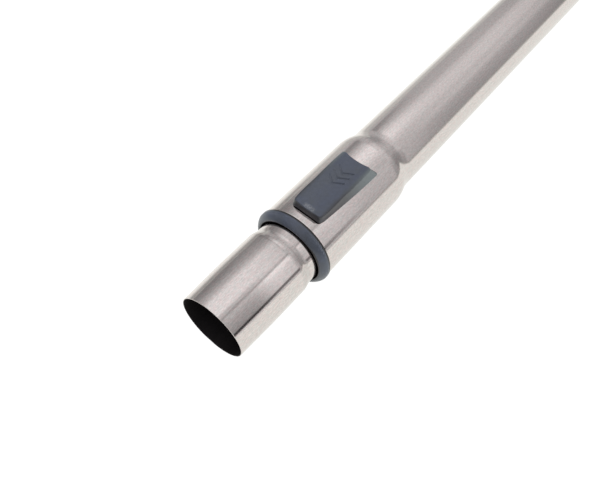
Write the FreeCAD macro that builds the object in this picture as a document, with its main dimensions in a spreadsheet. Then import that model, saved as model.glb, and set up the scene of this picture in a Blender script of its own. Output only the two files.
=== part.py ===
import FreeCAD, Part
import math
import os
from types import SimpleNamespace

import Sketcher

# Telescopic vacuum cleaner wand: a steel outer tube with a swaged collar, a steel inner tube
# that slides out of it, and a slide button on the collar that frees a cross roller from the
# notches of the inner tube.
#
# The wand lies along X. The row origin is the centre of the open handle end, +X points out of
# that end and +Z runs through the slide button. Every sub-part is drawn from the rim of the
# collar, where x is zero, and its Placement then moves it so that the handle end is the origin.

# Driving dimensions in millimetres, each with what it measures.
SIZES = {
    # Outer tube
    "outer_length": (504.5, "outer tube from the collar rim to the handle end"),
    "tube_od": (36.0, "outer tube, outside diameter"),
    "tube_wall": (0.5, "outer tube, wall"),
    "collar_od": (40.3, "swaged collar, outside diameter"),
    "collar_length": (55.0, "collar, straight stretch behind the rim"),
    "shoulder_length": (13.5, "shoulder from the collar down to the tube"),
    "socket_depth": (42.0, "handle socket, depth to the stop bead"),
    "bead_width": (4.0, "stop bead, width"),
    "bead_height": (0.7, "stop bead, height inward"),
    "slot_start": (9.0, "slot in the collar, from the rim"),
    "slot_length": (26.0, "slot in the collar, length"),
    "slot_width": (13.0, "slot in the collar, width"),
    "slot_corner": (2.0, "slot in the collar, corner radius"),
    # Inner tube
    "inner_od": (33.0, "inner tube, outside diameter"),
    "inner_wall": (0.5, "inner tube, wall"),
    "stick_out": (55.5, "inner tube, how far it stands out of the rim when pushed in"),
    "inner_depth": (444.0, "inner tube, length behind the rim when pushed in"),
    "mouth_od": (33.7, "spigot, outside diameter at the mouth"),
    "spigot_od": (34.8, "spigot, outside diameter of its straight stretch"),
    "mouth_taper": (21.0, "spigot, length of the lead-in taper"),
    "spigot_straight": (20.0, "spigot, length of its straight stretch"),
    "neck_length": (6.0, "neck from the spigot down to the tube"),
    "groove_radius": (3.0, "key groove, radius"),
    "groove_depth": (1.3, "key groove, depth below the tube"),
    "notch_count": (13, "lock notches"),
    "notch_pitch": (30.0, "lock notches, spacing"),
    "notch_radius": (1.95, "lock notch, radius"),
    "notch_depth": (1.55, "lock notch, depth below the tube"),
    "lock_place": (22.0, "lock roller, distance behind the rim"),
    # Guide sleeve, end ring and wiper
    "press_gap": (0.05, "clearance of a piece pressed into the tube"),
    "slide_gap": (0.1, "clearance of a piece that slides on the inner tube"),
    "sleeve_wall": (1.3, "guide sleeve, wall between its lands"),
    "sleeve_tail": (17.0, "guide sleeve, length behind the collar's straight stretch"),
    "tail_gap": (0.2, "clearance of the guide sleeve's tail in the tube"),
    "cone_lead": (2.0, "guide sleeve, how far its cone starts before the shoulder"),
    "cone_short": (1.5, "guide sleeve, how far its cone ends before the shoulder does"),
    "land_length": (38.5, "guide sleeve, rear end of the front land"),
    "rear_land": (4.0, "guide sleeve, width of the rear land"),
    "sleeve_rib": (1.6, "guide sleeve, width of the ribs between its cored pockets"),
    "pocket_middle": (50.0, "guide sleeve, middle of the cored pockets, degrees from the top"),
    "pocket_span": (52.0, "guide sleeve, span of the cored pockets in degrees"),
    "key_gap": (0.25, "clearance of the key in its groove"),
    "island_gap": (0.15, "clearance of the sleeve's island in the slot"),
    "flange_length": (5.0, "end ring, length in front of the rim"),
    "flange_od": (41.2, "end ring, outside diameter"),
    "ring_bore": (34.6, "end ring, bore"),
    "nose_length": (3.0, "end ring, length of the rounded nose"),
    "nose_drop": (2.4, "end ring, height of the rounded nose"),
    "nose_radius": (6.0, "end ring, radius of the rounded nose"),
    "ring_lip": (0.7, "end ring, rounding at the bore"),
    "ring_chamfer": (0.4, "end ring, chamfer at its rear edge"),
    "ring_spigot": (4.0, "end ring, depth of its spigot in the collar"),
    "spigot_wall": (1.5, "end ring, wall of that spigot"),
    # Lock roller, slider carriage and spring
    "roller_od": (3.5, "lock roller, diameter"),
    "roller_length": (11.0, "lock roller, length"),
    "roller_bevel": (0.3, "lock roller, bevel at its ends"),
    "roller_seat": (0.15, "clearance under the roller in its notch"),
    "roller_side": (0.1, "clearance of the roller in its guides"),
    "roller_lift": (1.6, "lock roller, lift when it is freed"),
    "slider_travel": (6.0, "slide button, travel toward the mouth"),
    "stop_gap": (0.2, "slide button, clearance at each stop"),
    "neck_half": (3.0, "carriage, half width of its neck"),
    "neck_gap": (0.2, "carriage, clearance of its neck and feet at each side"),
    "foot_half": (4.0, "carriage, half width of its feet"),
    "foot_bottom": (17.5, "carriage, height of the underside of its feet"),
    "barb_height": (0.95, "carriage, height of the feet's side rails"),
    "front_foot": (3.75, "carriage, length of its front foot"),
    "neck_length_behind": (11.8, "carriage, length of its neck behind the roller"),
    "rear_foot": (3.8, "carriage, length of its rear foot"),
    "ramp_gap": (0.04, "clearance of the carriage's ramp over the roller"),
    "plate_half": (5.0, "carriage, half width of its top plate"),
    "plate_bottom": (20.4, "carriage, height of the underside of its top plate"),
    "plate_thickness": (1.0, "carriage, thickness of its top plate"),
    "plate_margin": (3.2, "carriage, overhang of the top plate past its neck"),
    "plate_corner": (1.2, "carriage, rounding of the top plate's corners"),
    "peg_od": (2.4, "carriage, diameter of its two pegs"),
    "peg_height": (0.7, "carriage, height of its two pegs"),
    "peg_spacing": (16.0, "carriage, spacing of its two pegs"),
    "spring_od": (2.0, "return spring, outside diameter"),
    "spring_wire": (0.3, "return spring, wire"),
    "spring_turns": (6.0, "return spring, turns"),
    "spring_height": (19.0, "return spring, height of its axis"),
    "spring_bore": (2.3, "carriage, bore that holds the spring"),
    "spring_pocket": (2.8, "carriage, depth of that bore"),
    # Slide button
    "cap_front_corner": (4.2, "button, front corners at the drawing height"),
    "cap_front_half": (8.1, "button, half width at the front"),
    "cap_front_bow": (27.0, "button, radius of the bowed front edge"),
    "cap_side_bow": (525.0, "button, radius of the hollow sides"),
    "cap_rear_corner": (46.4, "button, rear corners at the drawing height"),
    "cap_rear_half": (10.3, "button, half width at the rear"),
    "cap_rear_bow": (17.0, "button, radius of the finger hollow at the rear"),
    "cap_draw_height": (17.5, "button, height at which its outline is drawn"),
    "cap_draft": (14.5, "button, slope of its sides in degrees"),
    "cap_crown": (23.7, "button, height of its crown"),
    "cap_crown_radius": (34.0, "button, radius of its crown"),
    "cap_wall": (1.5, "button, wall"),
    "cap_roof": (2.25, "button, thickness at the crown"),
    "cap_corner": (1.3, "button, rounding of its upright corners"),
    "cap_edge": (0.45, "button, rounding of its top edge"),
    "cap_gap": (0.2, "button, clearance over the collar"),
    "cap_lift_gap": (0.65, "button, clearance under its raised front part"),
    "cap_lift_end": (7.6, "button, rear end of that raised part, from the rim"),
    "cap_lift_ramp": (1.3, "button, length of the ramp up to that raised part"),
    "chevron_place": (23.2, "button, first chevron, from the rim"),
    "chevron_pitch": (3.65, "button, chevrons, spacing"),
    "chevron_sweep": (3.1, "button, chevrons, how far the arms run back"),
    "chevron_half": (4.2, "button, chevrons, half width"),
    "chevron_line": (0.95, "button, chevrons, width of the line along the wand"),
    "chevron_depth": (0.6, "button, chevrons, depth at the crown"),
    # Slide bushes and seal at the inner end of the inner tube
    "bush_gap": (0.1, "clearance of the slide bushes in the outer tube"),
    "bush_seat": (0.05, "clearance of the slide bushes on the inner tube"),
    "bush_length": (12.0, "slide bushes, length along the inner tube"),
    "bush_flange": (3.5, "slide bushes, length behind the inner tube"),
    "bush_bore": (30.4, "slide bushes, bore behind the inner tube"),
    "bush_peg_od": (3.0, "slide bushes, diameter of the peg"),
    "bush_peg_gap": (0.1, "clearance of that peg in its hole"),
    "seal_width": (1.6, "slide seal, width"),
    "seal_od": (34.92, "slide seal, outside diameter"),
    "seal_bore": (32.7, "slide seal, bore"),
    "seal_bevel": (0.4, "slide seal, bevel at each side of its lip"),
}

CHEVRON_COUNT = 3
POCKET_COUNT = 3
WIRE_SIDES = 6
EXPORT_FOLDER = "parts"


class Size:
    """A dimension that knows its number and the expression it has in the document."""

    def __init__(self, text, number):
        self.text = text
        self.number = number

    def joined(self, other, sign, result):
        return Size("(%s %s %s)" % (self.text, sign, as_size(other).text), result)

    def __add__(self, other):
        return self.joined(other, "+", self.number + as_size(other).number)

    def __sub__(self, other):
        return self.joined(other, "-", self.number - as_size(other).number)

    def __mul__(self, other):
        return self.joined(other, "*", self.number * as_size(other).number)

    def __truediv__(self, other):
        return self.joined(other, "/", self.number / as_size(other).number)

    def __radd__(self, other):
        return as_size(other) + self

    def __rsub__(self, other):
        return as_size(other) - self

    def __rmul__(self, other):
        return as_size(other) * self

    def __neg__(self):
        return Size("(-1 * %s)" % self.text, -self.number)


def as_size(value):
    """Return a plain number as a Size, and a Size as it is."""
    return value if isinstance(value, Size) else Size(repr(float(value)), float(value))


def root(value):
    """Square root of a Size."""
    return Size("sqrt(%s)" % value.text, math.sqrt(value.number))


doc = FreeCAD.newDocument("telescopic_wand")
sheet = doc.addObject("Spreadsheet::Sheet", "sheet")
for row, (alias, (number, meaning)) in enumerate(SIZES.items(), start=1):
    sheet.set("A%d" % row, meaning)
    sheet.set("B%d" % row, str(number))
    sheet.setAlias("B%d" % row, alias)
doc.recompute()
size = SimpleNamespace(**{name: Size("sheet." + name, number) for name, (number, meaning) in SIZES.items()})

# Radii and places that several sub-parts share.
ZERO = as_size(0)
tube_r = size.tube_od / 2
tube_bore_r = tube_r - size.tube_wall
collar_r = size.collar_od / 2
collar_bore_r = collar_r - size.tube_wall
shoulder_end = size.collar_length + size.shoulder_length
inner_r = size.inner_od / 2
neck_end = size.mouth_taper + size.spigot_straight + size.neck_length - size.stick_out
sleeve_bore_r = inner_r + size.slide_gap
sleeve_r = collar_bore_r - size.press_gap
bush_r = tube_bore_r - size.bush_gap
groove_axis = inner_r + size.groove_radius - size.groove_depth
notch_axis = inner_r - size.notch_depth + size.notch_radius
roller_r = size.roller_od / 2
roller_height = inner_r - size.notch_depth + size.roller_seat + roller_r
neck_front = size.lock_place - roller_r - size.roller_side - size.neck_gap - size.front_foot
neck_rear = size.lock_place + size.neck_length_behind
channel_front = neck_front - size.slider_travel - size.stop_gap
channel_rear = neck_rear + size.stop_gap
channel_half = size.neck_half + size.neck_gap
plate_top = size.plate_bottom + size.plate_thickness


def bind(thing, **values):
    """Bind properties to expressions; a double underscore in a name stands for a dot."""
    for name, value in values.items():
        thing.setExpression(name.replace("__", "."), as_size(value).text)


def new_body(name):
    """Start a sub-part that is drawn from the collar rim and placed from the handle end."""
    body = doc.addObject("PartDesign::Body", name)
    body.Label = name
    bind(body, Placement__Base__x=-size.outer_length)
    return body


def new_sketch(body, name, role, height=ZERO):
    """Attach a sketch to one of the body's own origin planes, at a height above it."""
    plane = next(feature for feature in body.Origin.OriginFeatures if feature.Role == role)
    sketch = body.newObject("Sketcher::SketchObject", name)
    sketch.AttachmentSupport = [(plane, "")]
    sketch.MapMode = "FlatFace"
    bind(sketch, AttachmentOffset__Base__z=height)
    return sketch


def pin_down(sketch, piece, end, across, up):
    """Fix one end or centre of a piece of outline by its two distances from the origin."""
    for kind, value in (("DistanceX", across), ("DistanceY", up)):
        index = sketch.addConstraint(Sketcher.Constraint(kind, -1, 1, piece, end, value.number))
        sketch.setExpression("Constraints[%d]" % index, value.text)


def set_radius(sketch, piece, radius):
    index = sketch.addConstraint(Sketcher.Constraint("Radius", piece, radius.number))
    sketch.setExpression("Constraints[%d]" % index, radius.text)


def outline(sketch, corners):
    """Draw a closed outline.

    Each corner is (across, up), or (across, up, radius, turn) where the stretch that starts at
    the corner is an arc of that radius which turns "left" or "right" on its way.
    """
    places = [FreeCAD.Vector(as_size(c[0]).number, as_size(c[1]).number, 0) for c in corners]
    ends = []
    for number, corner in enumerate(corners):
        start = places[number]
        stop = places[(number + 1) % len(corners)]
        if len(corner) == 2:
            piece = sketch.addGeometry(Part.LineSegment(start, stop), False)
            ends.append((piece, 1, 2))
            continue
        radius, turn = corner[2], corner[3]
        chord = stop - start
        side = FreeCAD.Vector(-chord.y, chord.x, 0).normalize()
        if turn == "right":
            side = -side
        rise = math.sqrt(radius.number ** 2 - chord.Length ** 2 / 4)
        centre = start + chord / 2 + side * rise
        first, last = (start, stop) if turn == "left" else (stop, start)
        angles = [math.atan2(p.y - centre.y, p.x - centre.x) for p in (first, last)]
        circle = Part.Circle(centre, FreeCAD.Vector(0, 0, 1), radius.number)
        piece = sketch.addGeometry(Part.ArcOfCircle(circle, angles[0], angles[1]), False)
        ends.append((piece, 1, 2) if turn == "left" else (piece, 2, 1))
        set_radius(sketch, piece, radius)
    for number, (piece, begin, finish) in enumerate(ends):
        following = ends[(number + 1) % len(ends)]
        sketch.addConstraint(Sketcher.Constraint("Coincident", piece, finish, following[0], following[1]))
        pin_down(sketch, piece, begin, as_size(corners[number][0]), as_size(corners[number][1]))


def circle_outline(sketch, across, up, radius):
    """Draw a circle about a point."""
    middle = FreeCAD.Vector(as_size(across).number, as_size(up).number, 0)
    piece = sketch.addGeometry(Part.Circle(middle, FreeCAD.Vector(0, 0, 1), radius.number), False)
    pin_down(sketch, piece, 3, as_size(across), as_size(up))
    set_radius(sketch, piece, radius)


def s_radius(length, height):
    """Radius of the two equal arcs of an S-shaped step, each tangent to the walls it joins."""
    return (length * length + height * height) / (4 * height)


def new_feature(body, kind, name):
    """Add a feature that keeps the faces of its base as they are."""
    feature = body.newObject("PartDesign::" + kind, name)
    feature.Refine = False
    return feature


def turned(body, sketch, name, angle=360.0, reverse=False):
    """Revolve an outline about the wand's axis."""
    feature = new_feature(body, "Revolution", name)
    feature.Profile = sketch
    feature.ReferenceAxis = (sketch, ["H_Axis"])
    feature.Angle = angle
    feature.Reversed = reverse
    doc.recompute()
    return feature


def turned_away(body, sketch, name, angle=as_size(360)):
    """Turn material away with an outline revolved about the wand's axis, to both sides of it."""
    before = body.Shape.Volume
    feature = new_feature(body, "Groove", name)
    feature.Profile = sketch
    feature.ReferenceAxis = (sketch, ["H_Axis"])
    feature.Midplane = True
    bind(feature, Angle=angle)
    doc.recompute()
    expect_cut(body, before, name)
    return feature


def padded(body, sketch, name, length, both_ways=False, reverse=False, draft=None):
    feature = new_feature(body, "Pad", name)
    feature.Profile = sketch
    feature.SideType = "Symmetric" if both_ways else "One side"
    feature.Reversed = reverse
    bind(feature, Length=length)
    if draft is not None:
        bind(feature, TaperAngle=-draft)
    doc.recompute()
    return feature


def pocketed(body, sketch, name, length, both_ways=False, draft=None):
    """Cut an outline out of the body, upward from its sketch or to both sides of it."""
    before = body.Shape.Volume
    feature = new_feature(body, "Pocket", name)
    feature.Profile = sketch
    feature.SideType = "Symmetric" if both_ways else "One side"
    feature.Reversed = True
    bind(feature, Length=length)
    if draft is not None:
        bind(feature, TaperAngle=-draft)
    doc.recompute()
    expect_cut(body, before, name)
    return feature


def expect_cut(body, before, name):
    """Stop where a cut has taken nothing away."""
    if body.Shape.Volume > before - 0.001:
        raise ValueError("%s cuts nothing in %s" % (name, body.Label))


def box_feature(body, kind, name, low, high):
    """Add or subtract a box between two corners."""
    feature = new_feature(body, kind + "Box", name)
    low = [as_size(v) for v in low]
    high = [as_size(v) for v in high]
    bind(feature, Length=high[0] - low[0], Width=high[1] - low[1], Height=high[2] - low[2])
    bind(feature, Placement__Base__x=low[0], Placement__Base__y=low[1], Placement__Base__z=low[2])
    doc.recompute()
    return feature


def part_object(kind, name, **values):
    thing = doc.addObject("Part::" + kind, name)
    thing.Label = name
    bind(thing, **values)
    return thing


def along_x(thing, start, height=ZERO):
    """Lay a cylinder along the wand, from a place behind the rim."""
    thing.Placement = FreeCAD.Placement(FreeCAD.Vector(), FreeCAD.Rotation(FreeCAD.Vector(0, 1, 0), 90))
    bind(thing, Placement__Base__x=start, Placement__Base__z=height)


def across_y(thing, place, height, half_length):
    """Lay a cylinder across the wand."""
    thing.Placement = FreeCAD.Placement(FreeCAD.Vector(), FreeCAD.Rotation(FreeCAD.Vector(1, 0, 0), -90))
    bind(thing, Placement__Base__x=place, Placement__Base__y=-half_length, Placement__Base__z=height)


def edge_names(shape, wanted):
    """Names of the edges for which wanted(edge) holds."""
    return ["Edge%d" % number for number, edge in enumerate(shape.Edges, start=1) if wanted(edge)]


def rounded(body, name, base, edges, radius):
    feature = new_feature(body, "Fillet", name)
    feature.Base = (base, edges)
    bind(feature, Radius=radius)
    doc.recompute()
    return feature


def make_outer_tube():
    """Steel tube with the swaged collar, the slot for the slide button and the stop bead."""
    body = new_body("outer_tube")
    wall = new_sketch(body, "outer_tube_wall", "XY_Plane")
    step = collar_r - tube_r
    bend = s_radius(size.shoulder_length, step)
    middle = size.collar_length + size.shoulder_length / 2
    bead_end = size.outer_length - size.socket_depth
    bead_start = bead_end - size.bead_width
    bead_middle = bead_end - size.bead_width / 2
    bead_bend = (size.bead_width * size.bead_width / 4 + size.bead_height * size.bead_height) / (2 * size.bead_height)
    outline(wall, [
        (ZERO, collar_bore_r),
        (size.collar_length, collar_bore_r, bend, "right"),
        (middle, collar_bore_r - step / 2, bend, "left"),
        (shoulder_end, tube_bore_r),
        (bead_start, tube_bore_r, bead_bend, "left"),
        (bead_end, tube_bore_r),
        (size.outer_length, tube_bore_r),
        (size.outer_length, tube_r),
        (bead_end, tube_r, bead_bend, "right"),
        (bead_start, tube_r),
        (shoulder_end, tube_r, bend, "right"),
        (middle, collar_r - step / 2, bend, "left"),
        (size.collar_length, collar_r),
        (ZERO, collar_r),
    ])
    turned(body, wall, "outer_tube_turned")
    slot = new_sketch(body, "button_slot", "XY_Plane")
    slot_outline(slot, ZERO)
    pocketed(body, slot, "button_slot_cut", size.collar_od)
    return body


def slot_outline(sketch, inset):
    """Rounded rectangle of the slot in the collar, drawn smaller by an inset."""
    corner = size.slot_corner - inset
    front = size.slot_start + inset
    rear = size.slot_start + size.slot_length - inset
    half = size.slot_width / 2 - inset
    outline(sketch, [
        (front + corner, -half),
        (rear - corner, -half, corner, "left"),
        (rear, corner - half),
        (rear, half - corner, corner, "left"),
        (rear - corner, half),
        (front + corner, half, corner, "left"),
        (front, half - corner),
        (front, corner - half, corner, "left"),
    ])


def tube_solid(name, wall_offset):
    """Solid of the inner tube's outside, or of its inside when the wall is taken off."""
    body = doc.addObject("PartDesign::Body", name)
    body.Label = name
    sketch = new_sketch(body, name + "_outline", "XZ_Plane")
    mouth = -size.stick_out
    straight_start = mouth + size.mouth_taper
    neck_start = neck_end - size.neck_length
    drop = size.spigot_od / 2 - inner_r
    bend = s_radius(size.neck_length, drop)
    outline(sketch, [
        (mouth, ZERO),
        (size.inner_depth, ZERO),
        (size.inner_depth, inner_r - wall_offset),
        (neck_end, inner_r - wall_offset, bend, "right"),
        ((neck_start + neck_end) / 2, inner_r + drop / 2 - wall_offset, bend, "left"),
        (neck_start, size.spigot_od / 2 - wall_offset),
        (straight_start, size.spigot_od / 2 - wall_offset),
        (mouth, size.mouth_od / 2 - wall_offset),
    ])
    turned(body, sketch, name + "_turned")
    return body


def make_inner_tube():
    """Steel tube whose notches and key groove are pressed in, so that its wall stays even."""
    outside = tube_solid("inner_tube_outside", ZERO)
    inside = tube_solid("inner_tube_inside", size.inner_wall)
    groove_start = neck_end + size.groove_radius
    groove_length = size.inner_depth + size.inner_wall - groove_start
    pressed = {}
    for skin, extra in (("outer", ZERO), ("inner", size.inner_wall)):
        groove = part_object("Cylinder", "groove_" + skin, Radius=size.groove_radius + extra,
                             Height=groove_length)
        along_x(groove, groove_start, -groove_axis)
        groove_end = part_object("Sphere", "groove_end_" + skin, Radius=size.groove_radius + extra,
                                 Placement__Base__x=groove_start, Placement__Base__z=-groove_axis)
        notches = []
        for number in range(int(size.notch_count.number)):
            notch = part_object("Cylinder", "notch_%s_%02d" % (skin, number + 1),
                                Radius=size.notch_radius + extra, Height=inner_r)
            across_y(notch, size.lock_place + number * size.notch_pitch, notch_axis, inner_r / 2)
            notches.append(notch)
        pressed[skin] = doc.addObject("Part::MultiFuse", "pressed_" + skin)
        pressed[skin].Shapes = [groove, groove_end] + notches
        pressed[skin].Refine = False
    hollow = part_object("Cut", "inner_tube_hollow")
    hollow.Base = inside
    hollow.Tool = pressed["inner"]
    wall = part_object("Cut", "inner_tube_wall")
    wall.Base = outside
    wall.Tool = hollow
    grooved = part_object("Cut", "inner_tube_pressed")
    grooved.Base = wall
    grooved.Tool = pressed["outer"]
    hole = part_object("Cylinder", "bush_peg_hole", Radius=size.bush_peg_od / 2 + size.bush_peg_gap,
                       Height=size.inner_od)
    across_y(hole, bush_peg_place(), ZERO, inner_r)
    tube = part_object("Cut", "inner_tube")
    tube.Base = grooved
    tube.Tool = hole
    bind(tube, Placement__Base__x=-size.outer_length)
    return tube


def bush_peg_place():
    """Middle of the slide bushes along the inner tube."""
    return size.inner_depth - size.bush_length / 2


def make_guide_sleeve():
    """Plastic sleeve in the collar: it guides the inner tube and houses the lock."""
    body = new_body("guide_sleeve")
    front = size.ring_spigot + size.press_gap
    rear = size.collar_length + size.sleeve_tail
    cone_start = size.collar_length - size.cone_lead
    cone_end = shoulder_end - size.cone_short
    waist_r = sleeve_bore_r + size.sleeve_wall
    tail_r = tube_bore_r - size.tail_gap
    wall = new_sketch(body, "sleeve_wall", "XY_Plane")
    outline(wall, [
        (front, sleeve_bore_r),
        (rear, sleeve_bore_r),
        (rear, tail_r),
        (cone_end, tail_r),
        (cone_start, sleeve_r - size.slide_gap),
        (cone_start, sleeve_r),
        (cone_start - size.rear_land, sleeve_r),
        (cone_start - size.rear_land, waist_r),
        (size.land_length, waist_r),
        (size.land_length, sleeve_r),
        (front, sleeve_r),
    ])
    turned(body, wall, "sleeve_turned")
    core_out(body, front, waist_r)
    make_key(body, front, size.collar_length - front)
    island = new_sketch(body, "island_outline", "XY_Plane", sleeve_bore_r)
    slot_outline(island, size.island_gap)
    padded(body, island, "island", size.cap_crown - sleeve_bore_r)
    crown = new_sketch(body, "island_crown", "XZ_Plane")
    island_top = collar_r - size.press_gap
    above_island = size.cap_crown + size.cap_roof
    outline(crown, [
        (front, island_top),
        (size.land_length, island_top),
        (size.land_length, above_island),
        (front, above_island),
    ])
    turned_away(body, crown, "island_crowned")
    rail_half = size.foot_half + size.neck_gap
    floor = size.foot_bottom - size.neck_gap
    rail_underside = size.foot_bottom + size.barb_height + size.neck_gap / 2
    box_feature(body, "Subtractive", "neck_channel",
                (channel_front, -channel_half, floor), (channel_rear, channel_half, size.cap_crown))
    box_feature(body, "Subtractive", "foot_channel",
                (channel_front, -rail_half, floor), (channel_rear, rail_half, rail_underside))
    guide_half = roller_r + size.roller_side
    window_half = size.roller_length / 2 + size.island_gap
    box_feature(body, "Subtractive", "roller_guides",
                (size.lock_place - guide_half, -window_half, 0),
                (size.lock_place + guide_half, window_half, size.cap_crown))
    return body


def core_out(body, front, floor_r):
    """Core the front land out beside the lock, into pockets with ribs between them."""
    bay = (size.land_length - front - (POCKET_COUNT + 1) * size.sleeve_rib) / POCKET_COUNT
    for side, turn in (("left", -1), ("right", 1)):
        sketch = new_sketch(body, "pockets_" + side, "XZ_Plane")
        sketch.AttachmentOffset = FreeCAD.Placement(
            FreeCAD.Vector(), FreeCAD.Rotation(FreeCAD.Vector(turn, 0, 0), size.pocket_middle.number))
        bind(sketch, AttachmentOffset__Rotation__Angle=size.pocket_middle)
        for number in range(POCKET_COUNT):
            start = front + size.sleeve_rib + number * (bay + size.sleeve_rib)
            outline(sketch, [
                (start, floor_r),
                (start + bay, floor_r),
                (start + bay, collar_r),
                (start, collar_r),
            ])
        turned_away(body, sketch, "pockets_cut_" + side, size.pocket_span)


def make_key(body, start, length):
    """Rib on the underside of the bore that runs in the inner tube's key groove."""
    radius = size.groove_radius - size.key_gap
    seat = sleeve_bore_r + size.sleeve_wall / 2
    rise = groove_axis - seat
    half = root(radius * radius - rise * rise)
    sketch = new_sketch(body, body.Label + "_key", "YZ_Plane", start)
    outline(sketch, [(-half, -seat), (half, -seat, radius, "left")])
    return padded(body, sketch, body.Label + "_key_rib", length)


def make_end_ring():
    """Plastic ring on the collar rim, with a rounded nose and a spigot inside the collar."""
    body = new_body("end_ring")
    bore_r = size.ring_bore / 2
    outer_r = size.flange_od / 2
    felt_r = sleeve_r - size.spigot_wall
    front = -size.flange_length
    sketch = new_sketch(body, "end_ring_section", "XY_Plane")
    outline(sketch, [
        (ZERO, bore_r),
        (ZERO, felt_r),
        (size.ring_spigot, felt_r),
        (size.ring_spigot, sleeve_r),
        (ZERO, sleeve_r),
        (ZERO, outer_r - size.ring_chamfer),
        (-size.ring_chamfer, outer_r),
        (front + size.nose_length, outer_r, size.nose_radius, "left"),
        (front, outer_r - size.nose_drop),
        (front, bore_r + size.ring_lip, size.ring_lip, "left"),
        (front + size.ring_lip, bore_r),
    ])
    turned(body, sketch, "end_ring_turned")
    return body


def make_wiper_felt():
    """Felt ring that wipes the inner tube, held between the end ring and the sleeve."""
    body = new_body("wiper_felt")
    sketch = new_sketch(body, "wiper_felt_section", "XY_Plane")
    felt_r = sleeve_r - size.spigot_wall - size.press_gap
    inside = inner_r + size.press_gap
    outline(sketch, [
        (size.press_gap, inside),
        (size.ring_spigot, inside),
        (size.ring_spigot, felt_r),
        (size.press_gap, felt_r),
    ])
    turned(body, sketch, "wiper_felt_turned")
    return body


def make_lock_roller():
    """Steel roller that lies across the wand in a notch of the inner tube."""
    body = new_body("lock_roller")
    sketch = new_sketch(body, "roller_end", "XZ_Plane")
    circle_outline(sketch, size.lock_place, roller_height, roller_r)
    bar = padded(body, sketch, "roller_bar", size.roller_length, both_ways=True)
    ends = edge_names(bar.Shape, lambda edge: edge.Closed)
    bevel = new_feature(body, "Chamfer", "roller_bevels")
    bevel.Base = (bar, ends)
    bind(bevel, Size=size.roller_bevel)
    doc.recompute()
    return body


def make_slider_carriage():
    """Carriage of the slide button: a ramp over the roller, two railed feet and a top plate."""
    body = new_body("slider_carriage")
    slope = size.roller_lift / size.slider_travel
    slant = root(1 + slope * slope)
    hold = roller_r + size.ramp_gap
    flat_height = roller_height + hold
    ramp_height = roller_height + hold * slant
    ramp_start = size.lock_place - (ramp_height - flat_height) / slope
    ramp_end = size.lock_place + size.slider_travel
    ramp_top = ramp_height + size.roller_lift
    foot_front_end = neck_front + size.front_foot
    foot_rear_start = neck_rear - size.rear_foot
    side = new_sketch(body, "carriage_side", "XZ_Plane")
    outline(side, [
        (neck_front, size.foot_bottom),
        (foot_front_end, size.foot_bottom),
        (foot_front_end, flat_height),
        (ramp_start, flat_height),
        (ramp_end, ramp_top),
        (foot_rear_start, ramp_top),
        (foot_rear_start, size.foot_bottom),
        (neck_rear, size.foot_bottom),
        (neck_rear, plate_top),
        (neck_front, plate_top),
    ])
    padded(body, side, "carriage_neck", size.neck_half * 2, both_ways=True)
    for name, start, end in (("front", neck_front, foot_front_end), ("rear", foot_rear_start, neck_rear)):
        box_feature(body, "Additive", name + "_foot_rails",
                    (start, -size.foot_half, size.foot_bottom),
                    (end, size.foot_half, size.foot_bottom + size.barb_height))
    plate = box_feature(body, "Additive", "top_plate",
                        (neck_front - size.plate_margin, -size.plate_half, size.plate_bottom),
                        (neck_rear + size.plate_margin, size.plate_half, plate_top))
    corners = edge_names(plate.Shape, lambda edge: is_upright(edge)
                         and abs(abs(edge.CenterOfMass.y) - size.plate_half.number) < 0.01)
    rounded(body, "plate_corners", plate, corners, size.plate_corner)
    pegs = new_sketch(body, "peg_circles", "XY_Plane", plate_top)
    for place in peg_places():
        circle_outline(pegs, place, ZERO, size.peg_od / 2)
    padded(body, pegs, "pegs", size.peg_height)
    spring_end = new_sketch(body, "spring_bore_circle", "YZ_Plane", neck_front)
    circle_outline(spring_end, ZERO, size.spring_height, size.spring_bore / 2)
    pocketed(body, spring_end, "spring_bore_cut", size.spring_pocket)
    return body


def is_upright(edge):
    return abs(edge.tangentAt(edge.FirstParameter).z) > 0.9


def peg_places():
    """Places of the carriage's two pegs, on each side of its middle."""
    middle = (neck_front + neck_rear) / 2
    return (middle - size.peg_spacing / 2, middle + size.peg_spacing / 2)


def make_return_spring():
    """Compression spring between the sleeve and the bore in the carriage's front foot."""
    body = new_body("return_spring")
    wire_r = size.spring_wire / 2
    coil_r = size.spring_od / 2 - wire_r
    start = channel_front + size.press_gap + wire_r
    end = neck_front + size.spring_pocket - size.press_gap - wire_r
    wire = new_sketch(body, "spring_wire_section", "XZ_Plane")
    turns = [2 * math.pi * side / WIRE_SIDES for side in range(WIRE_SIDES)]
    outline(wire, [(math.cos(turn) * wire_r, coil_r + math.sin(turn) * wire_r) for turn in turns])
    coil = new_feature(body, "AdditiveHelix", "spring_coil")
    coil.Profile = wire
    coil.ReferenceAxis = (wire, ["H_Axis"])
    coil.Mode = "height-turns-angle"
    bind(coil, Height=end - start, Turns=size.spring_turns)
    bind(body, Placement__Base__x=start - size.outer_length, Placement__Base__z=size.spring_height)
    doc.recompute()
    return body


def cap_outline(sketch, inset):
    """Outline of the slide button seen from above, drawn smaller by an inset."""
    front_middle = size.cap_front_corner + inset
    front_half = size.cap_front_half - inset
    rear_corner = size.cap_rear_corner - inset
    rear_half = size.cap_rear_half - inset
    outline(sketch, [
        (front_middle, -front_half, size.cap_side_bow, "left"),
        (rear_corner, -rear_half, size.cap_rear_bow, "right"),
        (rear_corner, rear_half, size.cap_side_bow, "left"),
        (front_middle, front_half, size.cap_front_bow, "left"),
    ])


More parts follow.
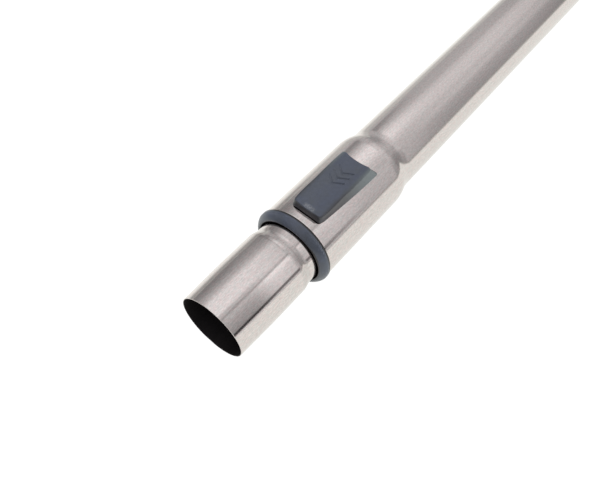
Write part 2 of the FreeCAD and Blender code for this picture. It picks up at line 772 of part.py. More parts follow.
def make_slider_cap():
    """Slide button: a hollow wedge-shaped cap with a crowned, grooved top."""
    body = new_body("slider_cap")
    above = size.cap_crown - size.cap_draw_height
    plan = new_sketch(body, "cap_plan", "XY_Plane", size.cap_draw_height)
    cap_outline(plan, ZERO)
    block = padded(body, plan, "cap_block", above + size.cap_edge, draft=size.cap_draft)
    corners = edge_names(block.Shape, lambda edge: abs(edge.tangentAt(edge.FirstParameter).z) > 0.5)
    rounded(body, "cap_corners", block, corners, size.cap_corner)
    crown = new_sketch(body, "cap_crown_cut", "YZ_Plane")
    half = size.cap_rear_half + size.cap_wall
    edge_height = size.cap_crown - size.cap_crown_radius + root(
        size.cap_crown_radius * size.cap_crown_radius - half * half)
    above_cap = size.cap_crown + size.cap_roof
    outline(crown, [
        (half, edge_height, size.cap_crown_radius, "left"),
        (-half, edge_height),
        (-half, above_cap),
        (half, above_cap),
    ])
    crowned = pocketed(body, crown, "cap_crowned", size.cap_rear_corner + size.cap_wall)
    top = max(crowned.Shape.Faces, key=lambda face: face.CenterOfMass.z)
    top_edges = edge_names(crowned.Shape, lambda edge: any(edge.isSame(other) for other in top.Edges))
    rounded(body, "cap_top_edge", crowned, top_edges, size.cap_edge)
    room = new_sketch(body, "cap_room", "XY_Plane", size.cap_draw_height)
    cap_outline(room, size.cap_wall)
    pocketed(body, room, "cap_hollow", above - size.cap_roof, draft=size.cap_draft)
    under = new_sketch(body, "cap_underside", "XZ_Plane")
    seat_r = collar_r + size.cap_gap
    raised_r = collar_r + size.cap_lift_gap
    outline(under, [
        (-size.flange_length, ZERO),
        (size.collar_length, ZERO),
        (size.collar_length, seat_r),
        (size.cap_lift_end, seat_r),
        (size.cap_lift_end - size.cap_lift_ramp, raised_r),
        (-size.flange_length, raised_r),
    ])
    turned_away(body, under, "cap_underside_cut")
    holes = new_sketch(body, "peg_holes", "XY_Plane", plate_top - size.plate_thickness)
    for place in peg_places():
        circle_outline(holes, place, ZERO, size.peg_od / 2 + size.press_gap)
    pocketed(body, holes, "peg_holes_cut", size.plate_thickness + size.peg_height + size.press_gap)
    marks = new_sketch(body, "chevrons", "XY_Plane", size.cap_crown - size.chevron_depth)
    for number in range(CHEVRON_COUNT):
        chevron_outline(marks, size.chevron_place + number * size.chevron_pitch)
    pocketed(body, marks, "chevrons_cut", size.chevron_depth + size.cap_roof)
    return body


def chevron_outline(sketch, point):
    """One chevron whose point looks toward the mouth."""
    back = point + size.chevron_sweep
    half = size.chevron_half
    line = size.chevron_line
    outline(sketch, [
        (point, ZERO),
        (back, -half),
        (back + line, -half),
        (point + line, ZERO),
        (back + line, half),
        (back, half),
    ])


def make_slide_bush(name, reverse):
    """Half shell clipped on the inner end of the inner tube, on one side of the wand."""
    body = new_body(name)
    seat_r = inner_r + size.bush_seat
    front = size.inner_depth - size.bush_length
    behind = size.inner_depth + size.bush_seat
    rear = behind + size.bush_flange
    seal_middle = behind + size.bush_flange / 2
    groove_half = size.seal_width / 2 + size.press_gap
    groove_r = size.seal_bore / 2 - size.press_gap
    section = new_sketch(body, name + "_section", "XZ_Plane")
    outline(section, [
        (front, seat_r),
        (behind, seat_r),
        (behind, size.bush_bore / 2),
        (rear, size.bush_bore / 2),
        (rear, bush_r),
        (seal_middle + groove_half, bush_r),
        (seal_middle + groove_half, groove_r),
        (seal_middle - groove_half, groove_r),
        (seal_middle - groove_half, bush_r),
        (front, bush_r),
    ])
    turned(body, section, name + "_turned", angle=180.0, reverse=reverse)
    aside = as_size(-1 if reverse else 1)
    peg = new_sketch(body, name + "_peg", "XZ_Plane", aside * (inner_r - size.inner_wall))
    circle_outline(peg, bush_peg_place(), ZERO, size.bush_peg_od / 2)
    padded(body, peg, name + "_peg_pad", (bush_r + seat_r) / 2 - inner_r + size.inner_wall, reverse=reverse)
    return body


def make_slide_seal():
    """Rubber ring round the slide bushes that seals against the outer tube."""
    body = new_body("slide_seal")
    middle = size.inner_depth + size.bush_seat + size.bush_flange / 2
    section = new_sketch(body, "slide_seal_section", "XY_Plane")
    front = middle - size.seal_width / 2
    rear = middle + size.seal_width / 2
    outline(section, [
        (front, size.seal_bore / 2),
        (rear, size.seal_bore / 2),
        (rear, size.seal_od / 2 - size.seal_bevel),
        (rear - size.seal_bevel, size.seal_od / 2),
        (front + size.seal_bevel, size.seal_od / 2),
        (front, size.seal_od / 2 - size.seal_bevel),
    ])
    turned(body, section, "slide_seal_turned")
    return body


def check_and_write(pieces):
    """Stop at any failed object or broken solid, then write one STEP file for each sub-part."""
    doc.recompute()
    for thing in doc.Objects:
        if "Invalid" in thing.State or "Error" in thing.State:
            raise ValueError("%s has failed: %s" % (thing.Name, thing.State))
    for piece in pieces:
        if piece.Shape.isNull() or not piece.Shape.isValid() or not piece.Shape.Solids:
            raise ValueError("%s has no sound shape" % piece.Label)
    os.makedirs(EXPORT_FOLDER, exist_ok=True)
    for piece in pieces:
        piece.Shape.exportStep(os.path.join(EXPORT_FOLDER, piece.Label + ".step"))
        box = piece.Shape.BoundBox
        print("%-18s %d solid, %8.1f mm3, x %.1f to %.1f, z %.2f to %.2f" % (
            piece.Label, len(piece.Shape.Solids), piece.Shape.Volume, box.XMin, box.XMax, box.ZMin, box.ZMax))


check_and_write([
    make_outer_tube(),
    make_inner_tube(),
    make_guide_sleeve(),
    make_end_ring(),
    make_wiper_felt(),
    make_lock_roller(),
    make_slider_carriage(),
    make_return_spring(),
    make_slider_cap(),
    make_slide_bush("slide_bush_left", False),
    make_slide_bush("slide_bush_right", True),
    make_slide_seal(),
])
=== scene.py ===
import logging
import math
from collections.abc import Callable
from dataclasses import dataclass
from enum import Enum
from functools import cached_property
from typing import Union

import bmesh
import bpy
import numpy as np
from mathutils import Matrix, Vector


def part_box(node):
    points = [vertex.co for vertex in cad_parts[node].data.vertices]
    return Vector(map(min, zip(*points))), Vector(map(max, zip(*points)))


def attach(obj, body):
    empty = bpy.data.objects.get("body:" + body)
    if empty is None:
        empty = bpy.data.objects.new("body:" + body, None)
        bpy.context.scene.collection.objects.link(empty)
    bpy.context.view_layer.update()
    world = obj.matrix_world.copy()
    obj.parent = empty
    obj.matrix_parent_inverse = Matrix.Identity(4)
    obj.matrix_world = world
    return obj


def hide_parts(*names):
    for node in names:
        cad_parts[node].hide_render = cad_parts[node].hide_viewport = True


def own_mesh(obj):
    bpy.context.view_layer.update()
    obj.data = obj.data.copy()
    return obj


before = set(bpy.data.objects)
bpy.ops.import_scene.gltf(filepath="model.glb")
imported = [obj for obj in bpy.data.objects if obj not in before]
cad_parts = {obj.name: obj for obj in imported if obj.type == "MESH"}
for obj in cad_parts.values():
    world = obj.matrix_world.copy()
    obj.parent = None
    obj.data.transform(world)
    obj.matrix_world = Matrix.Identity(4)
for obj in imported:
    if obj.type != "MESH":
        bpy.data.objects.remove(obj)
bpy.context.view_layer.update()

# A telescopic vacuum wand: two brushed steel tubes, the slate end ring and slide button on the
# collar, and the lock, bushes and seal inside. Sizes are in millimetres and are drawn from the
# collar rim, where s is zero; a mesh gets its place in the frame, in metres, when it is made.
# Masks in the finishes and the studio's own places are in metres, in the frame.

MM = 0.001
FULL_TURN = 2 * math.pi
RIM_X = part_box("outer_tube")[0].x
MERGE_REACH = 0.002 * MM
SHARP_ANGLE = math.radians(38)
# An end closes on a loop of almost no size, whose points then merge.
POLE = 0.0001
# A height that no skin reaches, where a pressed shape is absent.
CLEAR = 100.0
# A point kept beside an arc goes no further than this share of its side.
SIDE_SHARE = 0.49

log = logging.getLogger("wand")

Linkable = Union["Signal", bpy.types.NodeSocket, float, int, tuple, None]


class Body(Enum):
    """The moving bodies of the wand."""

    OUTER = "outer"
    INNER = "inner"
    SLIDER = "slider"
    ROLLER = "roller"


class Slot(Enum):
    """The record's material slots."""

    TUBE_STEEL = "tube_steel"
    SLATE_PLASTIC = "slate_plastic"
    WIPER_FELT = "wiper_felt"
    ROLLER_STEEL = "roller_steel"
    SPRING_STEEL = "spring_steel"


def math_operator(operation: str, swapped: bool = False) -> Callable[["Signal", Linkable], "Signal"]:
    """Make an operator of a signal that adds one Math node.

    Args:
        operation: the node's operation.
        swapped: whether the signal comes second, as in a reflected operator.

    Returns:
        The operator.
    """
    def apply(self: "Signal", other: Linkable) -> "Signal":
        """Join the signal and another value."""
        first, second = (other, self) if swapped else (self, other)
        return self.graph.signal("ShaderNodeMath", {"operation": operation}, {0: first, 1: second})

    return apply


class Signal:
    """A number that a shader socket carries, with Python's operators."""

    def __init__(self, graph: "Graph", socket: bpy.types.NodeSocket) -> None:
        """Wrap a socket of a graph."""
        self.graph = graph
        self.socket = socket

    __add__, __radd__ = math_operator("ADD"), math_operator("ADD", True)
    __sub__, __rsub__ = math_operator("SUBTRACT"), math_operator("SUBTRACT", True)
    __mul__, __rmul__ = math_operator("MULTIPLY"), math_operator("MULTIPLY", True)
    __truediv__, __rtruediv__ = math_operator("DIVIDE"), math_operator("DIVIDE", True)

    def ramp(self, low: float, high: float) -> "Signal":
        """Smooth step from 0 at low to 1 at high."""
        return self.graph.signal("ShaderNodeMapRange", {"interpolation_type": "SMOOTHSTEP", "clamp": True},
                                 {"Value": self, "From Min": low, "From Max": high})

    def swing(self, span: float) -> "Signal":
        """The signal's departure from one half, times a span."""
        return (self - 0.5) * span


class Graph:
    """The node tree of one material or world."""

    def __init__(self, tree: bpy.types.NodeTree) -> None:
        """Take over a node tree and empty it."""
        self.tree = tree
        self.tree.nodes.clear()

    def node(self, kind: str, settings: dict | None = None, inputs: dict | None = None) -> bpy.types.Node:
        """Add a node.

        Args:
            kind: the node's type name.
            settings: properties that are set first; "stops" fills a colour ramp.
            inputs: values or links of its sockets, by name or number.

        Returns:
            The new node.
        """
        made = self.tree.nodes.new(kind)
        for name, value in (settings or {}).items():
            if name == "stops":
                self._fill_ramp(made.color_ramp, value)
            else:
                setattr(made, name, value)
        for name, value in (inputs or {}).items():
            self._feed(made.inputs[name], value)
        return made

    def _fill_ramp(self, ramp: bpy.types.ColorRamp, stops: list[tuple[float, float]]) -> None:
        """Give a colour ramp its stops.

        Args:
            ramp: the colour ramp, with two stops of its own.
            stops: a place and a grey level each.
        """
        while len(ramp.elements) < len(stops):
            ramp.elements.new(1.0)
        for element, (place, level) in zip(ramp.elements, stops):
            element.position = place
            element.color = (level, level, level, 1.0)

    def _feed(self, socket: bpy.types.NodeSocket, value: Linkable) -> None:
        """Link a value to an input, or set it there.

        Args:
            socket: the input.
            value: a signal, a socket or plain numbers; one number makes a grey colour.
        """
        if isinstance(value, Signal):
            value = value.socket
        if isinstance(value, bpy.types.NodeSocket):
            self.tree.links.new(value, socket)
        elif socket.type == "RGBA":
            socket.default_value = (*(value if isinstance(value, tuple) else (value,) * 3), 1.0)
        else:
            socket.default_value = value

    def signal(self, kind: str, settings: dict | None = None, inputs: dict | None = None,
               output: int | str = 0) -> Signal:
        """Add a node and wrap one of its outputs as a number."""
        return Signal(self, self.node(kind, settings, inputs).outputs[output])

    def attribute(self, name: str) -> Signal:
        """A number that the mesh keeps at its points, 0 where it has none."""
        return self.signal("ShaderNodeAttribute", {"attribute_name": name}, None, "Fac")

    def axes(self, coordinates: str = "Object") -> tuple[Signal, ...]:
        """X, Y and Z of a set of texture coordinates."""
        vector = self.node("ShaderNodeTexCoord").outputs[coordinates]
        return tuple(Signal(self, axis) for axis in
                     self.node("ShaderNodeSeparateXYZ", None, {"Vector": vector}).outputs)

    def rays(self) -> tuple[Signal, ...]:
        """Whether the ray is seen by the camera, in a reflection, or through something clear."""
        path = self.node("ShaderNodeLightPath").outputs
        return tuple(Signal(self, path[f"Is {kind} Ray"]) for kind in ("Camera", "Glossy", "Transmission"))

    def blend(self, factor: Linkable, first: Linkable, second: Linkable) -> bpy.types.NodeSocket:
        """Mix two colours."""
        return self.node("ShaderNodeMix", {"data_type": "RGBA"}, {0: factor, 6: first, 7: second}).outputs[2]

    def tinted(self, colour: tuple, level: Signal) -> bpy.types.NodeSocket:
        """Colour times a grey level."""
        return self.node("ShaderNodeVectorMath", {"operation": "SCALE"},
                         {"Vector": colour, "Scale": level}).outputs[0]

    def noise(self, scale: float | tuple, detail: float, roughness: float,
              shift: tuple = (0.0, 0.0, 0.0)) -> Signal:
        """Noise on the object's coordinates.

        Args:
            scale: how often it varies in a metre, along all axes or each.
            detail: its number of finer layers.
            roughness: how strong they are.
            shift: moves it, so that two noises differ.

        Returns:
            The noise, from 0 to 1.
        """
        scales = scale if isinstance(scale, tuple) else (scale,) * 3
        place = self.node("ShaderNodeTexCoord").outputs["Object"]
        mapped = self.node("ShaderNodeMapping", None, {"Vector": place, "Scale": scales, "Location": shift})
        return self.signal("ShaderNodeTexNoise", {"noise_dimensions": "3D"}, {
            "Vector": mapped.outputs[0], "Scale": 1.0, "Detail": detail, "Roughness": roughness})

    def bump(self, height: Signal, depth: float, strength: float) -> bpy.types.NodeSocket:
        """A normal from a height from 0 to 1 that stands for a depth in metres."""
        return self.node("ShaderNodeBump", None,
                         {"Height": height, "Distance": depth, "Strength": strength}).outputs[0]


class Finish:
    """What all finishes share: a name, and a shader whose inputs each finish works out."""

    name: str

    def shading(self, graph: Graph) -> dict[str, Linkable]:
        """Inputs of the Principled shader, which each finish gives."""
        raise NotImplementedError

    def surface(self, graph: Graph) -> bpy.types.NodeSocket:
        """The Principled shader with the finish's inputs."""
        return graph.node("ShaderNodeBsdfPrincipled", None, self.shading(graph)).outputs[0]

    def material(self) -> bpy.types.Material:
        """Build the finish.

        Returns:
            Its material.
        """
        material = bpy.data.materials.new(self.name)
        material.use_nodes = True
        graph = Graph(material.node_tree)
        graph.node("ShaderNodeOutputMaterial", None, {"Surface": self.surface(graph)})
        return material


@dataclass(frozen=True)
class BrushedSteel(Finish):
    """Stainless steel brushed along the wand, dull inside a tube, with painted shade darkening the inside of
    a tube and the neck.
    """

    name: str = "brushed_steel"
    colour: tuple = (0.740, 0.648, 0.640)
    cool_colour: tuple = (0.700, 0.662, 0.652)
    # The colour of painted shade inside a tube.
    painted_shade_colour: tuple = (0.045, 0.040, 0.042)
    roughness: float = 0.115
    inside_roughness: float = 0.62
    streak_length: float = 12.0
    streak_fineness: float = 2600.0
    streak_tone: float = 0.16
    broad_tone: float = 0.10
    rubbed_tone: float = 0.62
    # Where painted shade darkens the inner tube's neck step, and how much.
    neck_front: tuple = (-0.5200, -0.5184)
    neck_back: tuple = (-0.5128, -0.5142)
    painted_neck_shade_depth: float = 0.11

    def shading(self, graph: Graph) -> dict[str, Linkable]:
        """Long fine streaks drive tone, roughness and relief; painted shade darkens the neck.

        Args:
            graph: the material's graph.

        Returns:
            The shader's inputs.
        """
        long, fine = self.streak_length, self.streak_fineness
        streaks = graph.noise((long, fine, fine), 2.0, 0.6)
        broad = graph.noise((long / 4, fine / 5, fine / 5), 2.0, 0.5, (3.1, 1.7, 0.4))
        cloud = graph.noise((16.0, 40.0, 40.0), 3.0, 0.5, (0.2, 0.9, 5.0))
        rubbed = graph.noise((620.0, 1500.0, 1500.0), 3.0, 0.7, (7.0, 0.3, 2.2))
        hue = graph.noise((600.0, 900.0, 900.0), 2.0, 0.6, (2.0, 5.3, 0.7))
        # Painted shade: where the mesh marks it (a tube's inner skin and part of its rims), the colour goes
        # near black.
        inside = graph.attribute("inside")
        along = graph.axes()[0]
        # Painted shade on the neck step: its colour is darker, standing in for the darker reflection there.
        painted_neck_shade = along.ramp(*self.neck_front) * along.ramp(*self.neck_back)
        tone = (1.0 + streaks.swing(self.streak_tone) + broad.swing(self.broad_tone)
                + rubbed.swing(self.rubbed_tone) - painted_neck_shade * self.painted_neck_shade_depth)
        outer = graph.blend(hue.ramp(0.40, 0.60), graph.tinted(self.colour, tone),
                            graph.tinted(self.cool_colour, tone))
        sheen = self.roughness + streaks.swing(0.08) + cloud.swing(0.04)
        return {"Base Color": graph.blend(inside, outer, graph.tinted(self.painted_shade_colour, tone)),
                "Metallic": 1.0,
                "Roughness": sheen + inside * (self.inside_roughness - self.roughness),
                "Normal": graph.bump(streaks + broad * 0.5 + rubbed * 0.8, 0.000010, 0.4)}


@dataclass(frozen=True)
class MouldedPlastic(Finish):
    """Matt moulded plastic with a fine spark-eroded grain."""

    name: str
    colour: tuple
    roughness: float = 0.5
    gloss: float = 0.5
    grain: float = 3200.0
    grain_depth: float = 0.00003
    cloud_tone: float = 0.10
    grain_tone: float = 0.12
    mottle_tone: float = 0.8
    warmth: tuple = (1.06, 1.02, 0.90)
    # The colour of painted shade, where the mesh marks it, as on the end ring.
    painted_shade_colour: tuple = (0.006, 0.006, 0.007)

    def shading(self, graph: Graph) -> dict[str, Linkable]:
        """Grain in the relief, and faint clouds in tone, warmth and gloss.

        Args:
            graph: the material's graph.

        Returns:
            The shader's inputs.
        """
        grain = graph.noise(self.grain, 2.0, 0.6)
        cloud = graph.noise(90.0, 4.0, 0.6, (4.0, 2.0, 7.0))
        mottle = graph.noise(680.0, 3.0, 0.7, (1.0, 8.0, 3.0))
        tone = (1.0 + cloud.swing(self.cloud_tone) + grain.swing(self.grain_tone)
                + mottle.swing(self.mottle_tone))
        warm = tuple(part * share for part, share in zip(self.colour, self.warmth))
        colour = graph.blend(cloud.ramp(0.42, 0.58), graph.tinted(self.colour, tone),
                             graph.tinted(warm, tone))
        colour, roughness = self.marked(graph, colour, self.roughness + cloud.swing(0.12) + grain.swing(0.08))
        # Painted shade: where the mesh marks it, the colour goes near black.
        return {"Base Color": graph.blend(graph.attribute("inside"), colour, self.painted_shade_colour),
                "Roughness": roughness,
                "Specular IOR Level": self.gloss,
                "Normal": graph.bump(grain, self.grain_depth, 0.35)}

    def marked(self, graph: Graph, colour: Linkable, roughness: Signal) -> tuple[Linkable, Signal]:
        """Colour and roughness with marks, painted light and shade among them, of which plain plastic has
        none.
        """
        return colour, roughness


@dataclass(frozen=True)
class SlatePlastic(MouldedPlastic):
    """The ring's and the button's plastic; the masks of its marks, painted light and shade on the walls and
    rubs on the front edge, lie on the button.
    """

    name: str = "slate_plastic"
    colour: tuple = (0.028, 0.035, 0.057)
    roughness: float = 0.34
    gloss: float = 0.8
    wall_top: tuple = (0.0232, 0.0227)
    wall_front: tuple = (-0.5035, -0.5025)
    wall_run: tuple = (-0.488, -0.461)
    # Painted shade for the front of the button's walls, and painted light for their rear.
    wall_painted_shade: tuple = (0.014, 0.013, 0.015)
    wall_painted_light: tuple = (0.069, 0.084, 0.087)
    wall_cover: float = 0.85
    rub_front: tuple = (-0.4997, -0.4989)
    rub_rear: tuple = (-0.4966, -0.4976)
    rub_right: tuple = (-0.0038, -0.0028)
    rub_left: tuple = (0.0026, 0.0014)
    rub_colour: tuple = (0.42, 0.43, 0.44)
    rub_cover: float = 0.42

    def marked(self, graph: Graph, colour: Linkable, roughness: Signal) -> tuple[Linkable, Signal]:
        """Walls with painted shade in front and painted light toward the rear, and rubs on the front top
        edge.

        Args:
            graph: the material's graph.
            colour: the plastic's colour.
            roughness: its roughness.

        Returns:
            Both with their marks.
        """
        along, aside, height = graph.axes()
        wall = height.ramp(*self.wall_top) * along.ramp(*self.wall_front)
        # Painted light and shade on the walls: dark in front, pale toward the rear.
        graded = graph.blend(along.ramp(*self.wall_run), self.wall_painted_shade, self.wall_painted_light)
        edge = along.ramp(*self.rub_front) * along.ramp(*self.rub_rear)
        edge = edge * aside.ramp(*self.rub_right) * aside.ramp(*self.rub_left)
        marks = graph.noise((2600.0, 3000.0, 2600.0), 3.0, 0.7, (1.3, 6.0, 2.0))
        rubs = marks.ramp(0.38, 0.74) * edge * self.rub_cover
        painted_walls = graph.blend(wall * self.wall_cover, colour, graded)
        return graph.blend(rubs, painted_walls, self.rub_colour), roughness + rubs * 0.2


@dataclass(frozen=True)
class WoolFelt(Finish):
    """Dark pressed wool felt."""

    name: str = "wool_felt"
    colour: tuple = (0.035, 0.034, 0.033)
    fibre_colour: tuple = (0.11, 0.105, 0.10)

    def shading(self, graph: Graph) -> dict[str, Linkable]:
        """Matted fibres in tone and relief.

        Args:
            graph: the material's graph.

        Returns:
            The shader's inputs.
        """
        fibre = graph.noise((1500.0, 5200.0, 5200.0), 5.0, 0.7)
        mat = graph.noise(700.0, 4.0, 0.65, (2.0, 3.0, 1.0))
        return {"Base Color": graph.blend(fibre.ramp(0.35, 0.7), self.colour, self.fibre_colour),
                "Roughness": 0.92 - mat * 0.1,
                "Sheen Weight": 0.35,
                "Normal": graph.bump(fibre + mat, 0.00012, 0.8)}


@dataclass(frozen=True)
class SoftRubber(Finish):
    """Black rubber with a dusty bloom."""

    name: str = "seal_rubber"
    colour: tuple = (0.018, 0.018, 0.019)
    bloom_colour: tuple = (0.06, 0.06, 0.062)

    def shading(self, graph: Graph) -> dict[str, Linkable]:
        """A faint bloom in tone and gloss over a smooth skin.

        Args:
            graph: the material's graph.

        Returns:
            The shader's inputs.
        """
        bloom = graph.noise(240.0, 5.0, 0.65)
        skin = graph.noise(2600.0, 2.0, 0.5, (1.0, 4.0, 2.0))
        return {"Base Color": graph.blend(bloom.ramp(0.45, 0.75) * 0.4, self.colour, self.bloom_colour),
                "Roughness": 0.55 + bloom * 0.2,
                "Normal": graph.bump(skin, 0.00002, 0.4)}


@dataclass(frozen=True)
class WorkedSteel(Finish):
    """Small steel parts: ground round a pin, or drawn along a wire."""

    name: str
    colour: tuple = (0.62, 0.61, 0.60)
    roughness: float = 0.22
    line_scale: float | tuple = (60.0, 60.0, 5200.0)

    def shading(self, graph: Graph) -> dict[str, Linkable]:
        """Fine tool lines in tone, roughness and relief.

        Args:
            graph: the material's graph.

        Returns:
            The shader's inputs.
        """
        lines = graph.noise(self.line_scale, 2.0, 0.6)
        film = graph.noise(420.0, 4.0, 0.6, (5.0, 1.0, 3.0))
        return {"Base Color": graph.tinted(self.colour, 1.0 + lines.swing(0.14) + film.swing(0.10)),
                "Metallic": 1.0,
                "Roughness": self.roughness + lines.swing(0.14),
                "Normal": graph.bump(lines, 0.000008, 0.5)}


@dataclass(frozen=True)
class PaleFloor(Finish):
    """The studio's floor: plain paper under the lamps, and an even glow to the camera and in steel.

    A fade is a place across the wand where a shade starts, one where it is complete, and its depth.
    """

    name: str = "pale_floor"
    paper: float = 0.80
    glow: float = 0.88
    camera_glow: float = 0.01
    dim_seen: float = 0.16
    dim_mirrored: float = 0.06
    mirror_tint: tuple = (0.98, 1.0, 0.95)
    deep_fade: tuple = (0.04, 0.17, 0.70)
    shallow_fade: tuple = (0.03, 0.13, 0.49)
    near_fade: tuple = (-0.01, 0.01, 0.14)
    right_fade: tuple = (-0.13, -0.30, 0.54)
    left_turn: tuple = (-0.50, -0.44)
    left_slant: float = 0.5
    right_start: tuple = (-0.34, -0.14)

    def surface(self, graph: Graph) -> bpy.types.NodeSocket:
        """Paper with a glow, which darkens in reflections towards the left and the right.

        Args:
            graph: the material's graph.

        Returns:
            The shader's output.
        """
        camera, glossy, clear = graph.rays()
        along, aside, _ = graph.axes()
        deep, shallow, near, far = (aside.ramp(start, stop) * depth for start, stop, depth in (
            self.deep_fade, self.shallow_fade, self.near_fade, self.right_fade))
        left = deep + (shallow - deep) * (along - aside * self.left_slant).ramp(*self.left_turn) - near
        shade = (left + along.ramp(*self.right_start) * far) * glossy
        paper = graph.node("ShaderNodeBsdfDiffuse", None, {"Color": self.paper})
        dim = graph.node("ShaderNodeBsdfDiffuse", None,
                         {"Color": graph.blend(glossy, self.dim_seen, self.dim_mirrored)})
        glow = graph.node("ShaderNodeEmission", None, {
            "Color": graph.blend(glossy, 1.0, self.mirror_tint),
            "Strength": self.glow + camera * self.camera_glow - shade})
        both = graph.node("ShaderNodeAddShader", None, {0: dim.outputs[0], 1: glow.outputs[0]})
        return graph.node("ShaderNodeMixShader", None, {
            0: camera + glossy + clear, 1: paper.outputs[0], 2: both.outputs[0]}).outputs[0]


def stacked(*parts: np.ndarray) -> np.ndarray:
    """Spread numbers over one grid and join them along a last axis."""
    return np.stack(np.broadcast_arrays(*parts), axis=-1)


@dataclass
class Grid:
    """Points of a surface in millimetres, rows by columns by three."""

    points: np.ndarray
    rows_close: bool = False
    columns_close: bool = False

    def faces(self, first: int) -> np.ndarray:
        """Quads between neighbouring rows and columns.

        Args:
            first: number of the grid's first point in its mesh.

        Returns:
            The quads' corner numbers.
        """
        rows, columns = self.points.shape[:2]
        i = np.arange(rows if self.rows_close else rows - 1)[:, None]
        j = np.arange(columns if self.columns_close else columns - 1)[None, :]
        below, right = (i + 1) % rows, (j + 1) % columns
        corners = (i * columns + j, i * columns + right, below * columns + right, below * columns + j)
        return first + stacked(*corners).reshape(-1, 4)


def link_object(name: str, data: bpy.types.ID) -> bpy.types.Object:
    """Make an object of a mesh, a lamp or a camera and link it into the scene.

    Args:
        name: the object's name.
        data: what it shows.

    Returns:
        The object.
    """
    made = bpy.data.objects.new(name, data)
    bpy.context.scene.collection.objects.link(made)
    return made


def new_mesh(name: str, grids: list[Grid], inside: list[np.ndarray] | None = None) -> bpy.types.Object:
    """Join grids into one closed mesh whose faces point outwards.

    Args:
        name: the object's name.
        grids: the surfaces, in millimetres from the collar rim.
        inside: for each grid, how much painted shade each of its points gets, or None.

    Returns:
        The object, at the origin, with its place in its mesh.
    """
    counts = [grid.points.shape[0] * grid.points.shape[1] for grid in grids]
    starts = np.cumsum([0] + counts[:-1])
    points = np.concatenate([grid.points.reshape(-1, 3) for grid in grids]) * MM + [RIM_X, 0.0, 0.0]
    faces = np.concatenate([grid.faces(int(first)) for grid, first in zip(grids, starts)])
    mesh = bpy.data.meshes.new(name)
    mesh.from_pydata(points.tolist(), [], faces.tolist())
    if inside is not None:
        # The inside attribute carries painted shade to the finishes.
        layer = mesh.attributes.new("inside", "FLOAT", "POINT")
        layer.data.foreach_set("value", np.concatenate([part.ravel() for part in inside]).astype(np.float32))
    merged = bmesh.new()
    merged.from_mesh(mesh)
    bmesh.ops.remove_doubles(merged, verts=merged.verts, dist=MERGE_REACH)
    bmesh.ops.recalc_face_normals(merged, faces=merged.faces)
    merged.to_mesh(mesh)
    merged.free()
    mesh.polygons.foreach_set("use_smooth", np.ones(len(mesh.polygons), bool))
    mesh.set_sharp_from_angle(angle=SHARP_ANGLE)
    return link_object(name, mesh)


def cut_away(piece: bpy.types.Object, cutter: bpy.types.Object) -> None:
    """Take a cutter's room out of a piece and remove the cutter.

    Args:
        piece: the object that is cut.
        cutter: the closed object that cuts it.
    """
    step = piece.modifiers.new("cut", "BOOLEAN")
    step.operation = "DIFFERENCE"
    step.solver = "EXACT"
    step.object = cutter
    bpy.context.view_layer.update()
    cut = bpy.data.meshes.new_from_object(piece.evaluated_get(bpy.context.evaluated_depsgraph_get()))
    piece.modifiers.clear()
    cut.set_sharp_from_angle(angle=SHARP_ANGLE)
    piece.data = cut
    bpy.data.objects.remove(cutter)


def finish_piece(piece: bpy.types.Object, material: bpy.types.Material, body: Body,
                 node: str) -> bpy.types.Object:
    """Dress a new piece, put it on its body and let it stand for its node.

    Args:
        piece: the new object.
        material: its finish.
        body: the body that it rides on.
        node: the node that it stands for.

    Returns:
        The same object.
    """
    piece.data.materials.clear()
    piece.data.materials.append(material)
    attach(piece, body.value)
    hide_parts(node)
    return piece


def dress_node(name: str, material: bpy.types.Material) -> bpy.types.Object:
    """Give a node that keeps its shape its finish.

    Args:
        name: the node's name.
        material: its finish.

    Returns:
        The node's object.
    """
    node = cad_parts[name]
    for place in node.material_slots:
        place.material = material
    return node


def turned(along: np.ndarray, radius: np.ndarray, turns: np.ndarray) -> np.ndarray:
    """Points (s, r sin t, r cos t) about the wand's axis, for each angle t from the top."""
    return stacked(along, radius * np.sin(turns), radius * np.cos(turns))


def pin(profile: np.ndarray, count: int, place: float, height: float) -> Grid:
    """Turn a profile about a line across the wand.

    A profile point (y, r) goes to (place + r sin t, y, height + r cos t) for each angle t.

    Args:
        profile: distance across the wand and radius of each point.
        count: number of points round the pin.
        place: the line's place along the wand.
        height: its height.

    Returns:
        The pin's surface, whose ends meet on the line.
    """
    (across, radius), turns = profile.T[..., None], even_turns(count)
    return Grid(stacked(place + radius * np.sin(turns), across, height + radius * np.cos(turns)), False, True)


def even_turns(count: int) -> np.ndarray:
    """Angles once round, evenly spaced."""
    return np.arange(count) * FULL_TURN / count


def bell(distance: np.ndarray, reach: float) -> np.ndarray:
    """Bell curve: e to the power of minus the square of distance over reach."""
    return np.exp(-(distance / reach) ** 2)


def bell_round(turns: np.ndarray, middle: float, reach: float) -> np.ndarray:
    """Bell curve round the wand, of the degrees between each angle and its middle."""
    return bell((np.degrees(turns) - middle + 180.0) % 360.0 - 180.0, reach)


def smooth_share(share: np.ndarray) -> np.ndarray:
    """Smooth step, 3 t squared less 2 t cubed, of a share held between 0 and 1."""
    t = np.clip(share, 0.0, 1.0)
    return t * t * (3 - 2 * t)


def smooth_least(first: np.ndarray, second: np.ndarray, reach: float) -> np.ndarray:
    """The lesser of two heights, rounded where they cross.

    Where they differ by less than the reach, a quarter of the reach times the squared share of it
    that is left is taken off.
    """
    near = np.clip(1.0 - np.abs(first - second) / reach, 0.0, None)
    return np.minimum(first, second) - reach * near ** 2 / 4


